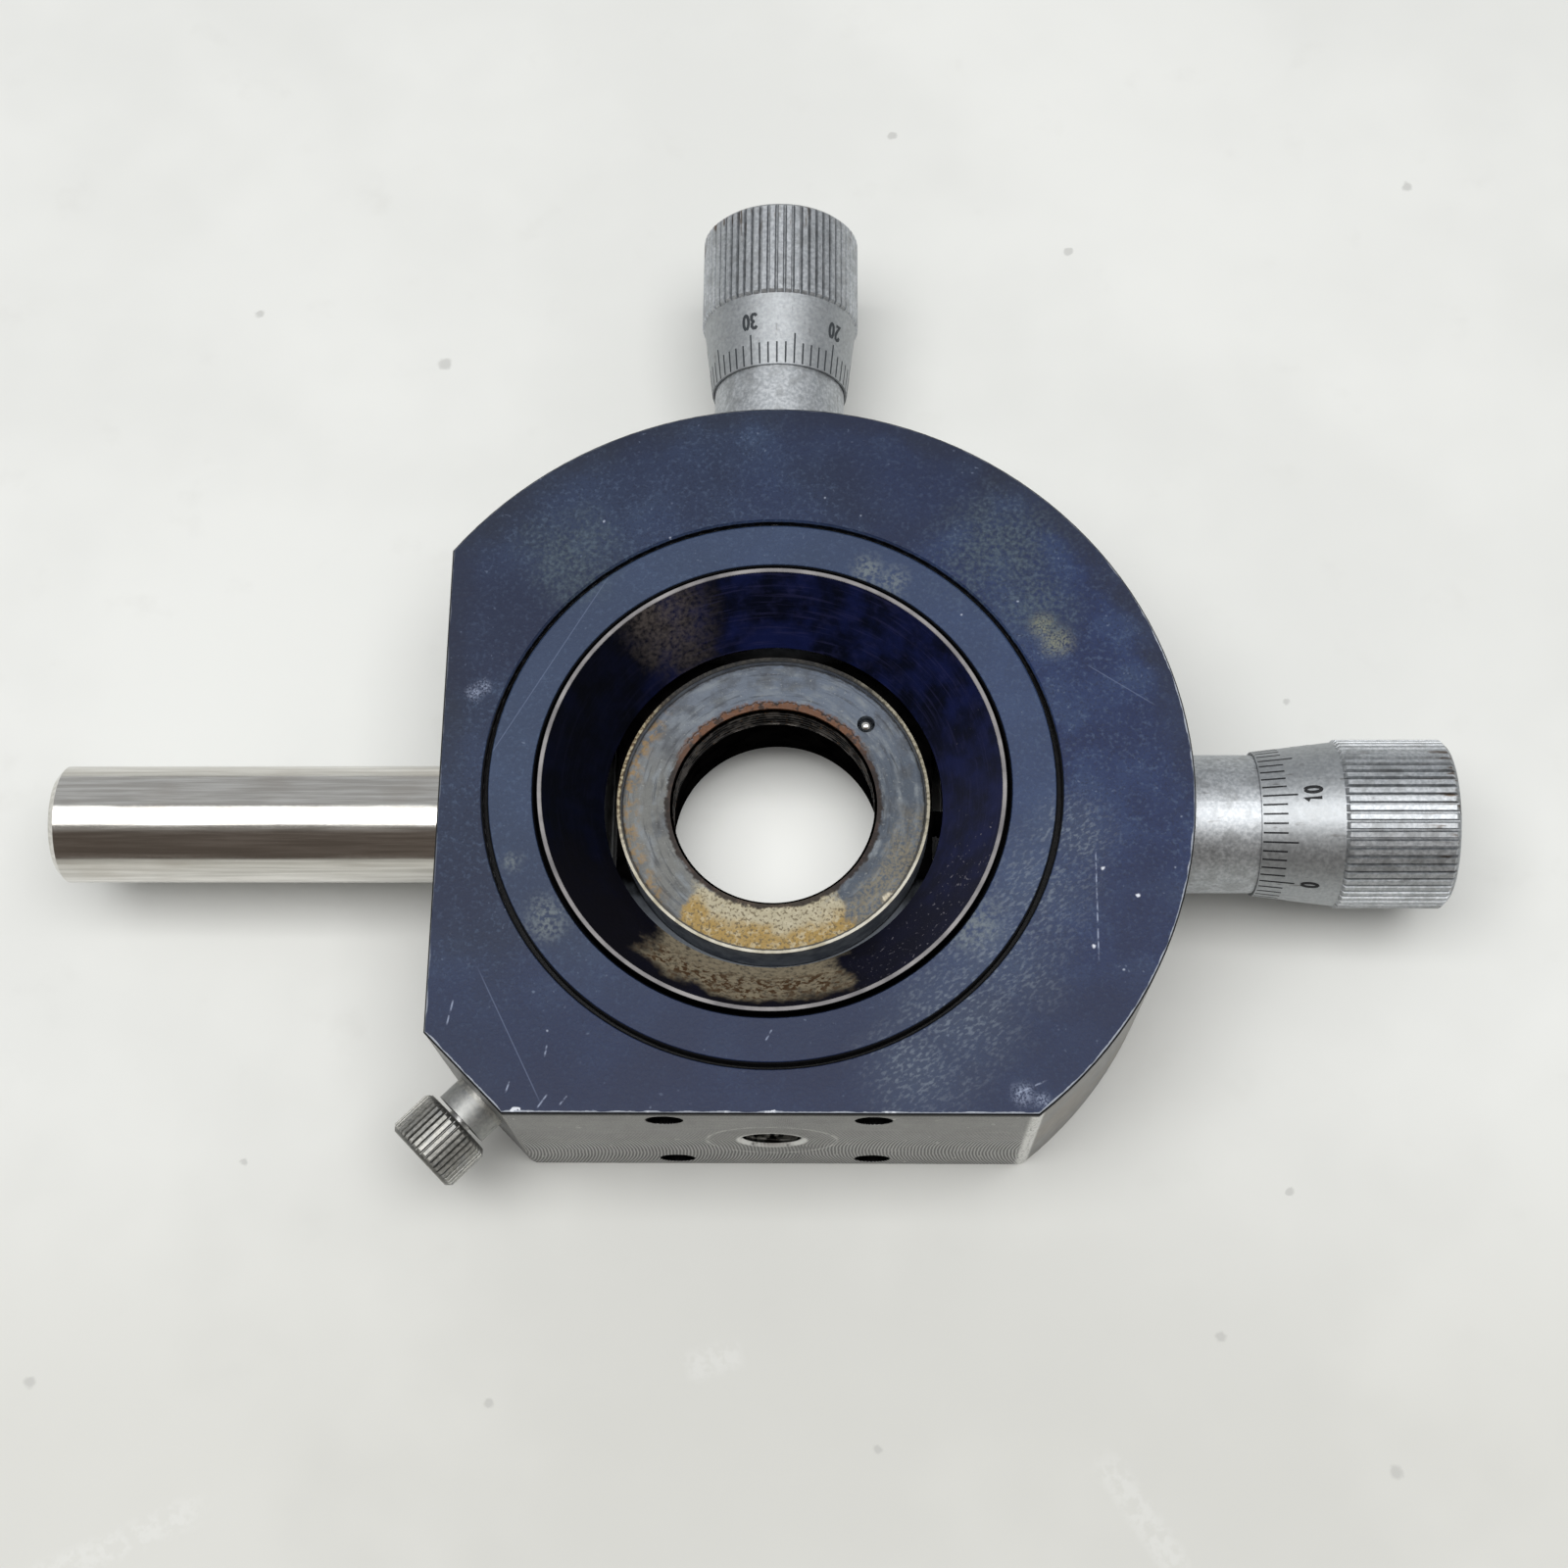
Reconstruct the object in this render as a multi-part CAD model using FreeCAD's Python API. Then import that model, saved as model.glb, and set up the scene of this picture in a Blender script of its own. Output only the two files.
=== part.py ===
import FreeCAD, Part
import math
import os

# Two-axis translation stage for a round optic.
# Frame: origin on the optical axis at the optic's seat face, +Z out of the well,
# +X towards one micrometer drum, +Y towards the other. All sizes in millimetres.

V = FreeCAD.Vector
X_AXIS = V(1, 0, 0)
Y_AXIS = V(0, 1, 0)
Z_AXIS = V(0, 0, 1)
LOCK_AXIS = V(-math.sqrt(0.5), -math.sqrt(0.5), 0)

# Housing outline and height
body_radius = 48.0
flat_distance = 38.0
corner_chamfer = 9.0
body_height = 29.0
drive_depth = 7.0
cover_thickness = 1.0
edge_break = 0.25
housing_edge_break = 0.35
drive_z = -drive_depth
top_z = drive_z + body_height / 2
back_z = drive_z - body_height / 2

# Clearances
running_gap = 0.05
slide_gap = 0.3
stop_gap = 0.4
cut_overrun = 1.0
travel = 1.0
diagonal_travel = travel * math.sqrt(2)

# Mechanism pocket and back plate
pocket_corner = 5.0
pocket_roof_thickness = 1.0
back_plate_thickness = 2.0
back_plate_rim = 4.0
back_plate_corner = 12.0
back_opening_radius = 18.0
back_screw_offset = 14.0
back_screw_radius = 1.0
back_screw_head_radius = 1.9
back_screw_length = 7.0
back_screw_socket_radius = 0.9
back_screw_socket_depth = 1.0

# Cone shield in the well and the ring that holds it
rim_proud = 0.4
rim_outer_radius = 26.7
rim_land = 0.45
rim_gap = 0.45
cone_tip_z = 0.4
cone_wall = 1.0
cone_tip_land = 0.7
cone_flange_depth = 3.5
cone_flange_thickness = 1.5
cone_flange_inset = 1.45
cone_flange_seat = 2.5
groove_width = 0.5
cover_ring_width = 5.8
cover_ring_height = 2.0

# Optic carrier, its sleeve and the threaded insert
optic_thread_radius = 12.1
insert_radius = 17.65
insert_floor = 1.0
sleeve_wall = 0.5
sleeve_rise = 1.0
sleeve_seat = 0.8
clear_step = 0.4
carrier_lip = 0.4
cone_to_sleeve = 0.1
carrier_drop = 7.0
carrier_corner = 2.0
ball_hole_radius = 1.05
ball_radius = 0.95
ball_hole_depth = 2.0
ball_inset = 2.7
ball_angle = 43.0

# Moving frame between the housing and the carrier
frame_end_wall = 4.5
frame_side_wall = 6.7
frame_drop = 6.5
frame_rise = 6.9
frame_corner = 4.5
frame_inner_corner = 3.0

# Guide rods, bushes and return springs
guide_radius = 1.25
guide_bush_radius = 2.1
guide_bush_length = 6.0
x_guide_inset = 3.4
x_guide_drop = 4.0
y_guide_inset = 3.7
y_guide_rise = 4.4
x_guide_bore_radius = 1.6
y_guide_seat = 4.0
spring_seat_depth = 8.0
spring_cup_depth = 0.5
spring_cup_height = 3.0
spring_wire = 0.3
spring_mean_radius = 1.65
spring_coils = 7
plug_length = 3.0
plug_recess = 1.0

# Micrometer drives: pin, bush, sleeve, spindle and drum
pin_radius = 1.5
pin_head_radius = 2.5
pin_head_length = 1.0
pin_head_room = 0.2
pin_bush_radius = 4.0
pin_bush_length = 7.0
pad_length = 2.2
pad_stand = 0.3
barrel_radius = 8.2
barrel_inside_drum = 13.0
spindle_radius = 2.5
drum_bore_gap = 0.1
drum_edge_wall = 0.25
drum_cone_radius = 9.7
drum_radius = 10.0
drum_cone_length = 9.4
drum_knurl_length = 13.15
drum_end_wall = 6.5
drum_rib_count = 60
drum_rib_depth = 0.4
rib_top_share = 0.55
rib_flank_share = 0.15
cap_radius = 5.0
cap_height = 1.1
cap_screw_radius = 1.5
cap_screw_length = 5.0
cap_slot_width = 1.0
cap_slot_depth = 0.5
x_drum_edge = 56.4
y_drum_edge = 57.6
barrel_screw_radius = 1.5
barrel_screw_distance = 41.5
barrel_screw_recess = 0.6
barrel_socket_radius = 0.85
barrel_socket_depth = 1.5

# Mounting rod and tapped fixings on the two flats
rod_radius = 7.0
rod_length = 47.5
rod_chamfer = 0.8
stud_radius = 3.4
stud_depth = 9.0
rod_socket_depth = 12.0
mouth_chamfer = 0.4
fixing_radius = 2.1
fixing_wall = 0.9
fixing_along = 23.0
fixing_edge = 3.5

# Corner lock: bush, split tongue, ball, screw and knurled head
lock_collar_radius = 3.5
lock_collar_length = 3.1
lock_bush_radius = 2.5
lock_bush_length = 7.4
lock_screw_radius = 1.5
lock_tongue_shank = 4.8
lock_blade_width = 5.0
lock_blade_thickness = 2.4
lock_blade_reach = 3.08
lock_bore_radius = 1.3
lock_bore_length = 4.0
lock_split_width = 0.6
lock_ball_radius = 1.2
lock_ball_room = 0.6
lock_nose_radius = 1.1
lock_head_radius = 4.8
lock_head_length = 5.85
lock_head_gap = 0.5
lock_rib_count = 40
lock_rib_depth = 0.35
lock_side_room = 0.8
lock_end_room = 0.5

# Worked-out places shared by several pieces
housing_top_z = top_z - cover_thickness
fixing_across = body_height - 2 * fixing_edge
cover_ring_foot_z = top_z - cover_ring_height
cone_flange_top_z = top_z - cone_flange_depth
cone_flange_z = cone_flange_top_z - cone_flange_thickness
pocket_roof_z = cone_flange_z - pocket_roof_thickness
carrier_bottom_z = drive_z - carrier_drop
frame_bottom_z = drive_z - frame_drop
frame_top_z = drive_z + frame_rise
x_guide_z = drive_z - x_guide_drop
y_guide_z = drive_z + y_guide_rise
insert_height = -drive_z - pin_radius - insert_floor
lock_face = (2 * flat_distance - corner_chamfer) * math.sqrt(0.5)
cone_rim_radius = rim_outer_radius - rim_land
cover_ring_inner = rim_outer_radius + rim_gap
cover_ring_radius = cover_ring_inner + cover_ring_width
cone_flange_radius = cover_ring_radius - cone_flange_inset
fixing_floor = math.sqrt((cover_ring_radius + fixing_wall) ** 2 - (fixing_along / 2 - fixing_radius) ** 2)
sleeve_radius = insert_radius + running_gap + sleeve_wall
cone_tip_radius = sleeve_radius + diagonal_travel + cone_to_sleeve
clear_radius = optic_thread_radius + clear_step
ball_circle = optic_thread_radius + ball_inset
carrier_top_z = -insert_height
carrier_half_x = sleeve_radius + carrier_lip
frame_inner_half = carrier_half_x + travel + stop_gap
carrier_half_y = frame_inner_half - slide_gap
frame_half_x = frame_inner_half + frame_side_wall
frame_half_y = frame_inner_half + frame_end_wall
pocket_half = frame_half_x + slide_gap
back_plate_half = pocket_half + back_plate_rim
x_guide_y = carrier_half_y - x_guide_inset
y_guide_x = frame_half_x - y_guide_inset
barrel_start = flat_distance
pin_bush_end = pocket_half + pin_bush_length
pin_head_end = pin_bush_end + travel + pin_head_length + pin_head_room
drum_bore_radius = barrel_radius + drum_bore_gap
drum_edge_radius = drum_bore_radius + drum_edge_wall
lock_blade_tip = (carrier_half_x + carrier_half_y) * math.sqrt(0.5) - lock_blade_reach
lock_shank_start = lock_face - lock_bush_length
lock_bore_floor = lock_shank_start - lock_bore_length
lock_ball_centre = lock_bore_floor + lock_ball_radius + lock_ball_room


def export(shape, node):
    shape.exportStep("parts/" + node + ".step")


def cylinder(radius, start, end, axis, offset=V(0, 0, 0)):
    return Part.makeCylinder(radius, end - start, offset + axis * start, axis)


def tube(outer, inner, start, end, axis, offset=V(0, 0, 0)):
    body = cylinder(outer, start, end, axis, offset)
    return body.cut(cylinder(inner, start, end, axis, offset))


def box(low, high):
    size = high - low
    return Part.makeBox(size.x, size.y, size.z, low)


def revolve(profile, axis=Z_AXIS, offset=V(0, 0, 0)):
    """Turn (radius, station) points about an axis; stations run along that axis."""
    points = [V(radius, 0, station) for radius, station in profile]
    points.append(points[0])
    solid = Part.Face(Part.makePolygon(points)).revolve(V(0, 0, 0), Z_AXIS, 360)
    turned = FreeCAD.Placement(offset, FreeCAD.Rotation(Z_AXIS, axis))
    return Part.Solid(solid.transformed(turned.toMatrix()).Shells[0])


def rounded_block(half_x, half_y, corner, low_z, high_z):
    block = box(V(-half_x, -half_y, low_z), V(half_x, half_y, high_z))
    upright = [edge for edge in block.Edges if abs(edge.BoundBox.ZLength) > edge.BoundBox.DiagonalLength / 2]
    return block.makeFillet(corner, upright)


def body_outline(low_z, high_z):
    """Round body with two flats at right angles and a chamfer between them."""
    flat_end = math.sqrt(body_radius ** 2 - flat_distance ** 2)
    corner = flat_distance - corner_chamfer
    arc_middle = body_radius * math.sqrt(0.5)
    start = V(flat_end, -flat_distance, low_z)
    finish = V(-flat_distance, flat_end, low_z)
    arc = Part.Arc(start, V(arc_middle, arc_middle, low_z), finish).toShape()
    rest = [finish, V(-flat_distance, -corner, low_z), V(-corner, -flat_distance, low_z), start]
    edges = [arc] + Part.makePolygon(rest).Edges
    return Part.Face(Part.Wire(edges)).extrude(V(0, 0, high_z - low_z))


def diagonal_block(width, height, start, end, z):
    """A block along the lock's axis, centred on it."""
    block = box(V(-width / 2, -height / 2, start), V(width / 2, height / 2, end))
    across = V(LOCK_AXIS.y, -LOCK_AXIS.x, 0)
    turn = FreeCAD.Rotation(across, Z_AXIS, LOCK_AXIS, "ZXY")
    return block.transformed(FreeCAD.Placement(V(0, 0, z), turn).toMatrix())


def ribbed_cylinder(radius, depth, count, start, end, axis):
    """Straight-ribbed grip with bevelled ends: a rib keeps its radius over its share of the pitch."""
    pitch = 2 * math.pi / count
    root = radius - depth
    corners = [
        (0, radius),
        (rib_top_share, radius),
        (rib_top_share + rib_flank_share, root),
        (1 - rib_flank_share, root),
    ]
    points = []
    for rib in range(count):
        for share, reach in corners:
            angle = (rib + share) * pitch
            points.append(V(reach * math.cos(angle), reach * math.sin(angle), start))
    points.append(points[0])
    grip = Part.Face(Part.makePolygon(points)).extrude(V(0, 0, end - start))
    turned = FreeCAD.Placement(drive_line(), FreeCAD.Rotation(Z_AXIS, axis))
    blank = [
        (0, start),
        (root, start),
        (radius, start + depth),
        (radius, end - depth),
        (root, end),
        (0, end),
    ]
    return grip.transformed(turned.toMatrix()).common(drive_revolve(blank, axis))


def spring(start, end, axis, offset):
    """Helical compression spring of square wire between two seats."""
    free = end - start - spring_wire
    half = spring_wire / 2
    helix = Part.makeHelix(free / spring_coils, free, spring_mean_radius)
    corners = [(-half, -half), (half, -half), (half, half), (-half, half), (-half, -half)]
    section = Part.makePolygon([V(spring_mean_radius + across, 0, along) for across, along in corners])
    coil = Part.Wire(helix).makePipeShell([section], True, True)
    base = offset + axis * (start + half)
    turned = FreeCAD.Placement(base, FreeCAD.Rotation(Z_AXIS, axis))
    return coil.transformed(turned.toMatrix())


def drive_line(x=0.0, y=0.0):
    return V(x, y, drive_z)


def drive_cylinder(radius, start, end, axis):
    return cylinder(radius, start, end, axis, drive_line())


def drive_revolve(profile, axis):
    return revolve(profile, axis, drive_line())


def fixing_holes(axis):
    """Four tapped holes round the middle of one flat, with the tapped hole for the rod."""
    along = V(axis.y, -axis.x, 0)
    holes = drive_cylinder(stud_radius, flat_distance - stud_depth, flat_distance, axis)
    mouth = [
        (stud_radius, flat_distance - mouth_chamfer),
        (stud_radius + mouth_chamfer, flat_distance),
        (0, flat_distance),
        (0, flat_distance - mouth_chamfer),
    ]
    holes = holes.fuse(drive_revolve(mouth, axis))
    for side in (-1, 1):
        for level in (-1, 1):
            place = drive_line() + along * (side * fixing_along / 2) + Z_AXIS * (level * fixing_across / 2)
            holes = holes.fuse(cylinder(fixing_radius, fixing_floor, flat_distance, axis, place))
    return holes


def y_guide_place(side):
    return V(side * y_guide_x, 0, y_guide_z)


def x_guide_place(side):
    return V(0, side * x_guide_y, x_guide_z)


def guide_outlet():
    """Where a Y guide hole comes out of the round side of the housing."""
    return math.sqrt(body_radius ** 2 - (y_guide_x + guide_radius) ** 2)


def back_screw_places():
    middle = (pocket_half + back_plate_half) / 2
    places = []
    for side in (-1, 1):
        for offset in (-back_screw_offset, back_screw_offset):
            places.append(V(side * middle, offset, 0))
            places.append(V(offset, side * middle, 0))
    return places


def drive_bores(axis):
    bores = drive_cylinder(barrel_radius, barrel_start, body_radius + cut_overrun, axis)
    bores = bores.fuse(drive_cylinder(pin_bush_radius, pocket_half - cut_overrun, barrel_start, axis))
    screw_foot = axis * barrel_screw_distance
    return bores.fuse(cylinder(barrel_screw_radius, back_z, drive_z, Z_AXIS, screw_foot))


def back_plate_block():
    inner = back_z + back_plate_thickness
    return rounded_block(back_plate_half, back_plate_half, back_plate_corner, back_z, inner)


def housing_blank():
    """The housing's outline with its upright corners and its back edge broken."""
    body = body_outline(back_z, housing_top_z)
    upright = [edge for edge in body.Edges if edge.BoundBox.ZLength > body_height / 2]
    body = body.makeChamfer(housing_edge_break, upright)
    back = [edge for edge in body.Edges if edge.BoundBox.ZMax < back_z + edge_break]
    return body.makeChamfer(housing_edge_break, back)


def make_housing():
    body = housing_blank()
    cuts = [
        rounded_block(pocket_half, pocket_half, pocket_corner, back_z, pocket_roof_z),
        back_plate_block(),
        cylinder(cone_flange_radius - cone_flange_seat, pocket_roof_z, cone_flange_z, Z_AXIS),
        cylinder(cone_flange_radius, cone_flange_z, cone_flange_top_z, Z_AXIS),
        cylinder(cover_ring_radius, cone_flange_top_z, housing_top_z, Z_AXIS),
        drive_bores(X_AXIS),
        drive_bores(Y_AXIS),
        fixing_holes(-X_AXIS),
        fixing_holes(-Y_AXIS),
        drive_cylinder(lock_bush_radius, pocket_half, lock_face, LOCK_AXIS),
    ]
    for side in (-1, 1):
        seat_end = pocket_half + y_guide_seat
        cup_floor = -pocket_half - spring_cup_depth
        cup_mouth = cup_floor + spring_cup_height
        place = y_guide_place(side)
        cuts.append(cylinder(guide_radius, -seat_end, body_radius, Y_AXIS, place))
        cuts.append(cylinder(guide_bush_radius, cup_floor, cup_mouth, Y_AXIS, place))
    for place in back_screw_places():
        top = back_z + back_screw_length
        cuts.append(cylinder(back_screw_radius, back_z + back_plate_thickness, top, Z_AXIS, place))
    return body.cut(cuts).removeSplitter()


def make_top_plate():
    plate = body_outline(housing_top_z, top_z)
    rim = [edge for edge in plate.Edges if edge.BoundBox.ZMin > top_z - edge_break]
    plate = plate.makeChamfer(edge_break, rim)
    opening = [
        (0, housing_top_z),
        (cover_ring_radius, housing_top_z),
        (cover_ring_radius, top_z - edge_break),
        (cover_ring_radius + edge_break, top_z),
        (0, top_z),
    ]
    return plate.cut(revolve(opening))


def make_cover_ring():
    inner = cover_ring_inner
    groove_inner = cover_ring_radius - groove_width
    profile = [
        (inner, cone_flange_top_z),
        (cover_ring_radius, cone_flange_top_z),
        (cover_ring_radius, cover_ring_foot_z),
        (groove_inner, cover_ring_foot_z),
        (groove_inner, top_z - edge_break),
        (groove_inner - edge_break, top_z),
        (inner + edge_break, top_z),
        (inner, top_z - edge_break),
    ]
    return revolve(profile)


def make_cone_shield():
    rim_z = top_z + rim_proud
    slope = (cone_rim_radius - cone_tip_radius) / (rim_z - cone_tip_z)
    underside = cone_tip_radius + slope * (cone_flange_z - cone_tip_z) + cone_wall
    profile = [
        (cone_rim_radius, rim_z),
        (cone_tip_radius, cone_tip_z),
        (cone_tip_radius + cone_tip_land, cone_tip_z),
        (underside, cone_flange_z),
        (cone_flange_radius, cone_flange_z),
        (cone_flange_radius, cone_flange_top_z),
        (rim_outer_radius, cone_flange_top_z),
        (rim_outer_radius, rim_z),
    ]
    return revolve(profile)


def hex_socket(radius, depth, foot, place):
    """Six-sided key socket sunk into a screw from below."""
    turns = [math.radians(60 * side) for side in range(7)]
    corners = [place + V(radius * math.cos(turn), radius * math.sin(turn), foot) for turn in turns]
    return Part.Face(Part.makePolygon(corners)).extrude(Z_AXIS * depth)


def screw_cone(place):
    """Countersink under one screw of the back plate."""
    sink = back_screw_head_radius - back_screw_radius
    top = back_z + sink
    profile = [(0, back_z), (back_screw_head_radius, back_z), (back_screw_radius, top), (0, top)]
    return revolve(profile, Z_AXIS, place)


def make_back_plate():
    inner = back_z + back_plate_thickness
    plate = back_plate_block().cut(cylinder(back_opening_radius, back_z, inner, Z_AXIS))
    for place in back_screw_places():
        plate = plate.cut(cylinder(back_screw_radius, back_z, inner, Z_AXIS, place))
        plate = plate.cut(screw_cone(place))
    return plate


def make_back_screws():
    screws = []
    for place in back_screw_places():
        shank = cylinder(back_screw_radius, back_z, back_z + back_screw_length, Z_AXIS, place)
        socket = hex_socket(back_screw_socket_radius, back_screw_socket_depth, back_z, place)
        screws.append(shank.fuse(screw_cone(place)).cut(socket))
    return Part.makeCompound(screws)


def make_mounting_rod():
    end = flat_distance + rod_length
    profile = [
        (0, flat_distance),
        (rod_radius, flat_distance),
        (rod_radius, end - rod_chamfer),
        (rod_radius - rod_chamfer, end),
        (0, end),
    ]
    rod = drive_revolve(profile, -X_AXIS)
    return rod.cut(drive_cylinder(stud_radius, flat_distance, flat_distance + rod_socket_depth, -X_AXIS))


def make_rod_stud():
    return drive_cylinder(stud_radius, flat_distance - stud_depth, flat_distance + rod_socket_depth, -X_AXIS)


def make_barrel(axis, drum_edge):
    """Fixed sleeve of one drive, pressed into the housing and covered by the drum."""
    end = drum_edge + barrel_inside_drum
    return tube(barrel_radius, spindle_radius + running_gap, barrel_start, end, axis, drive_line())


def make_barrel_screws():
    foot = back_z + barrel_screw_recess
    screws = []
    for axis in (X_AXIS, Y_AXIS):
        place = axis * barrel_screw_distance
        screw = cylinder(barrel_screw_radius, foot, drive_z - barrel_radius, Z_AXIS, place)
        screws.append(screw.cut(hex_socket(barrel_socket_radius, barrel_socket_depth, foot, place)))
    return Part.makeCompound(screws)


def make_pin_bush(axis):
    return tube(pin_bush_radius, pin_radius + running_gap, pocket_half, pin_bush_end, axis, drive_line())


def make_thrust_pin(axis, pad_face):
    shank = drive_cylinder(pin_radius, pad_face + running_gap, pin_head_end, axis)
    head = drive_cylinder(pin_head_radius, pin_head_end - pin_head_length, pin_head_end, axis)
    return shank.fuse(head)


def make_spindle(axis, drum_edge):
    end = drum_edge + drum_cone_length + drum_knurl_length - cap_screw_length + cap_height
    return drive_cylinder(spindle_radius, pin_head_end + running_gap, end, axis)


def make_thimble(axis, drum_edge):
    """Drum: thin cone with the scale, then a straight-ribbed grip and a solid end."""
    knurl_start = drum_edge + drum_cone_length
    end = knurl_start + drum_knurl_length
    profile = [
        (0, drum_edge),
        (drum_edge_radius, drum_edge),
        (drum_cone_radius, knurl_start),
        (drum_radius - drum_rib_depth, knurl_start),
        (drum_radius - drum_rib_depth, end - edge_break),
        (drum_radius - drum_rib_depth - edge_break, end),
        (0, end),
    ]
    drum = drive_revolve(profile, axis)
    grip_end = end - edge_break
    grip = ribbed_cylinder(drum_radius, drum_rib_depth, drum_rib_count, knurl_start, grip_end, axis)
    drum = drum.fuse(grip)
    cap_foot = end - cap_height
    spindle_end = end - cap_screw_length + cap_height
    drum = drum.cut(drive_cylinder(drum_bore_radius, drum_edge, end - drum_end_wall, axis))
    drum = drum.cut(drive_cylinder(spindle_radius, drum_edge, spindle_end, axis))
    drum = drum.cut(drive_cylinder(cap_screw_radius, drum_edge, end, axis))
    return drum.cut(drive_cylinder(cap_radius + running_gap, cap_foot, end, axis))


def make_drum_cap(axis, drum_edge):
    end = drum_edge + drum_cone_length + drum_knurl_length
    head = drive_cylinder(cap_radius, end - cap_height, end, axis)
    shank = drive_cylinder(cap_screw_radius, end - cap_screw_length + cap_height, end, axis)
    across = V(axis.y, axis.x, 0)
    low = axis * (end - cap_slot_depth) - across * cap_radius - Z_AXIS * (cap_slot_width / 2)
    high = axis * end + across * cap_radius + Z_AXIS * (cap_slot_width / 2)
    return head.fuse(shank).cut(box(drive_line() + low, drive_line() + high))


def guide_pair(start, end, axis, place_at):
    return Part.makeCompound([cylinder(guide_radius, start, end, axis, place_at(side)) for side in (-1, 1)])


def make_y_guides():
    reach = pocket_half + y_guide_seat
    return guide_pair(-reach, reach, Y_AXIS, y_guide_place)


def make_guide_plugs():
    end = guide_outlet() - plug_recess
    return guide_pair(end - plug_length, end, Y_AXIS, y_guide_place)


def make_x_guides():
    return guide_pair(-frame_half_x, frame_half_x, X_AXIS, x_guide_place)


def guide_bushes(axis, far_face, spring_face, places):
    """Two bushes on each rod: one at the drive's end, one behind the spring."""
    bushes = []
    inner = guide_radius + running_gap
    behind = spring_face + spring_seat_depth
    for place in places:
        bushes.append(tube(guide_bush_radius, inner, far_face - guide_bush_length, far_face, axis, place))
        bushes.append(tube(guide_bush_radius, inner, behind, behind + guide_bush_length, axis, place))
    return Part.makeCompound(bushes)


def guide_bores(axis, half, place):
    bores = cylinder(x_guide_bore_radius, -half, half, axis, place)
    bores = bores.fuse(cylinder(guide_bush_radius, half - guide_bush_length, half, axis, place))
    seat = spring_seat_depth + guide_bush_length
    return bores.fuse(cylinder(guide_bush_radius, -half, seat - half, axis, place))


def make_springs(axis, seat, half, places):
    return Part.makeCompound([spring(-seat, spring_seat_depth - half, axis, place) for place in places])


def pin_slot():
    """Window in the frame that lets the X drive's pin stay still while the frame moves in Y."""
    high = pin_radius + stop_gap
    reach = travel + stop_gap
    start = frame_inner_half - cut_overrun
    low = V(start, -reach, drive_z - high)
    window = box(low, V(frame_half_x, reach, drive_z + high))
    for side in (-1, 1):
        window = window.fuse(cylinder(high, start, frame_half_x, X_AXIS, drive_line(0, side * reach)))
    return window


def make_y_frame():
    frame = rounded_block(frame_half_x, frame_half_y, frame_corner, frame_bottom_z, frame_top_z)
    inner = frame_inner_half
    opening = rounded_block(inner, inner, frame_inner_corner, frame_bottom_z, frame_top_z)
    pad_seat = drive_cylinder(pin_radius, frame_half_y - pad_length, frame_half_y, Y_AXIS)
    slot_width = lock_blade_width + 2 * (travel + stop_gap)
    slot_height = lock_blade_thickness + 2 * slide_gap
    lock_slot = diagonal_block(slot_width, slot_height, frame_inner_half, 2 * frame_inner_half, drive_z)
    frame = frame.cut([opening, pad_seat, pin_slot(), lock_slot])
    for side in (-1, 1):
        frame = frame.cut(guide_bores(Y_AXIS, frame_half_y, y_guide_place(side)))
        frame = frame.cut(cylinder(guide_radius, -frame_half_x, frame_half_x, X_AXIS, x_guide_place(side)))
    return frame


def make_thrust_pad(axis, half):
    return drive_cylinder(pin_radius, half - pad_length, half + pad_stand, axis)


def make_carrier():
    block = rounded_block(carrier_half_x, carrier_half_y, carrier_corner, carrier_bottom_z, carrier_top_z)
    groove_floor = carrier_top_z - sleeve_seat
    groove = tube(sleeve_radius, sleeve_radius - sleeve_wall, groove_floor, carrier_top_z, Z_AXIS)
    slot_width = lock_blade_width + 2 * diagonal_travel + lock_side_room
    slot_floor = lock_blade_tip - diagonal_travel - lock_end_room
    slot_height = lock_blade_thickness + 2 * running_gap
    slot = diagonal_block(slot_width, slot_height, slot_floor, 2 * frame_inner_half, drive_z)
    pad_seat = drive_cylinder(pin_radius, carrier_half_x - pad_length, carrier_half_x, X_AXIS)
    bore = cylinder(clear_radius, carrier_bottom_z, carrier_top_z, Z_AXIS)
    block = block.cut([groove, slot, pad_seat, bore])
    for side in (-1, 1):
        block = block.cut(guide_bores(X_AXIS, carrier_half_x, x_guide_place(side)))
    return block


def make_optic_sleeve():
    low = carrier_top_z - sleeve_seat
    return tube(sleeve_radius, sleeve_radius - sleeve_wall, low, sleeve_rise, Z_AXIS)


def ball_place():
    angle = math.radians(ball_angle)
    return V(ball_circle * math.cos(angle), ball_circle * math.sin(angle), 0)


def make_insert_ring():
    ring = tube(insert_radius, optic_thread_radius, -insert_height, 0, Z_AXIS)
    return ring.cut(cylinder(ball_hole_radius, -ball_hole_depth, 0, Z_AXIS, ball_place()))


def make_insert_ball():
    return Part.makeSphere(ball_radius, ball_place() - Z_AXIS * (ball_hole_depth - ball_radius))


def make_lock_bush():
    end = lock_face + lock_collar_length
    bush = drive_cylinder(lock_bush_radius, lock_shank_start, lock_face, LOCK_AXIS)
    bush = bush.fuse(drive_cylinder(lock_collar_radius, lock_face, end, LOCK_AXIS))
    return bush.cut(drive_cylinder(lock_screw_radius + running_gap, lock_shank_start, end, LOCK_AXIS))


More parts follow.
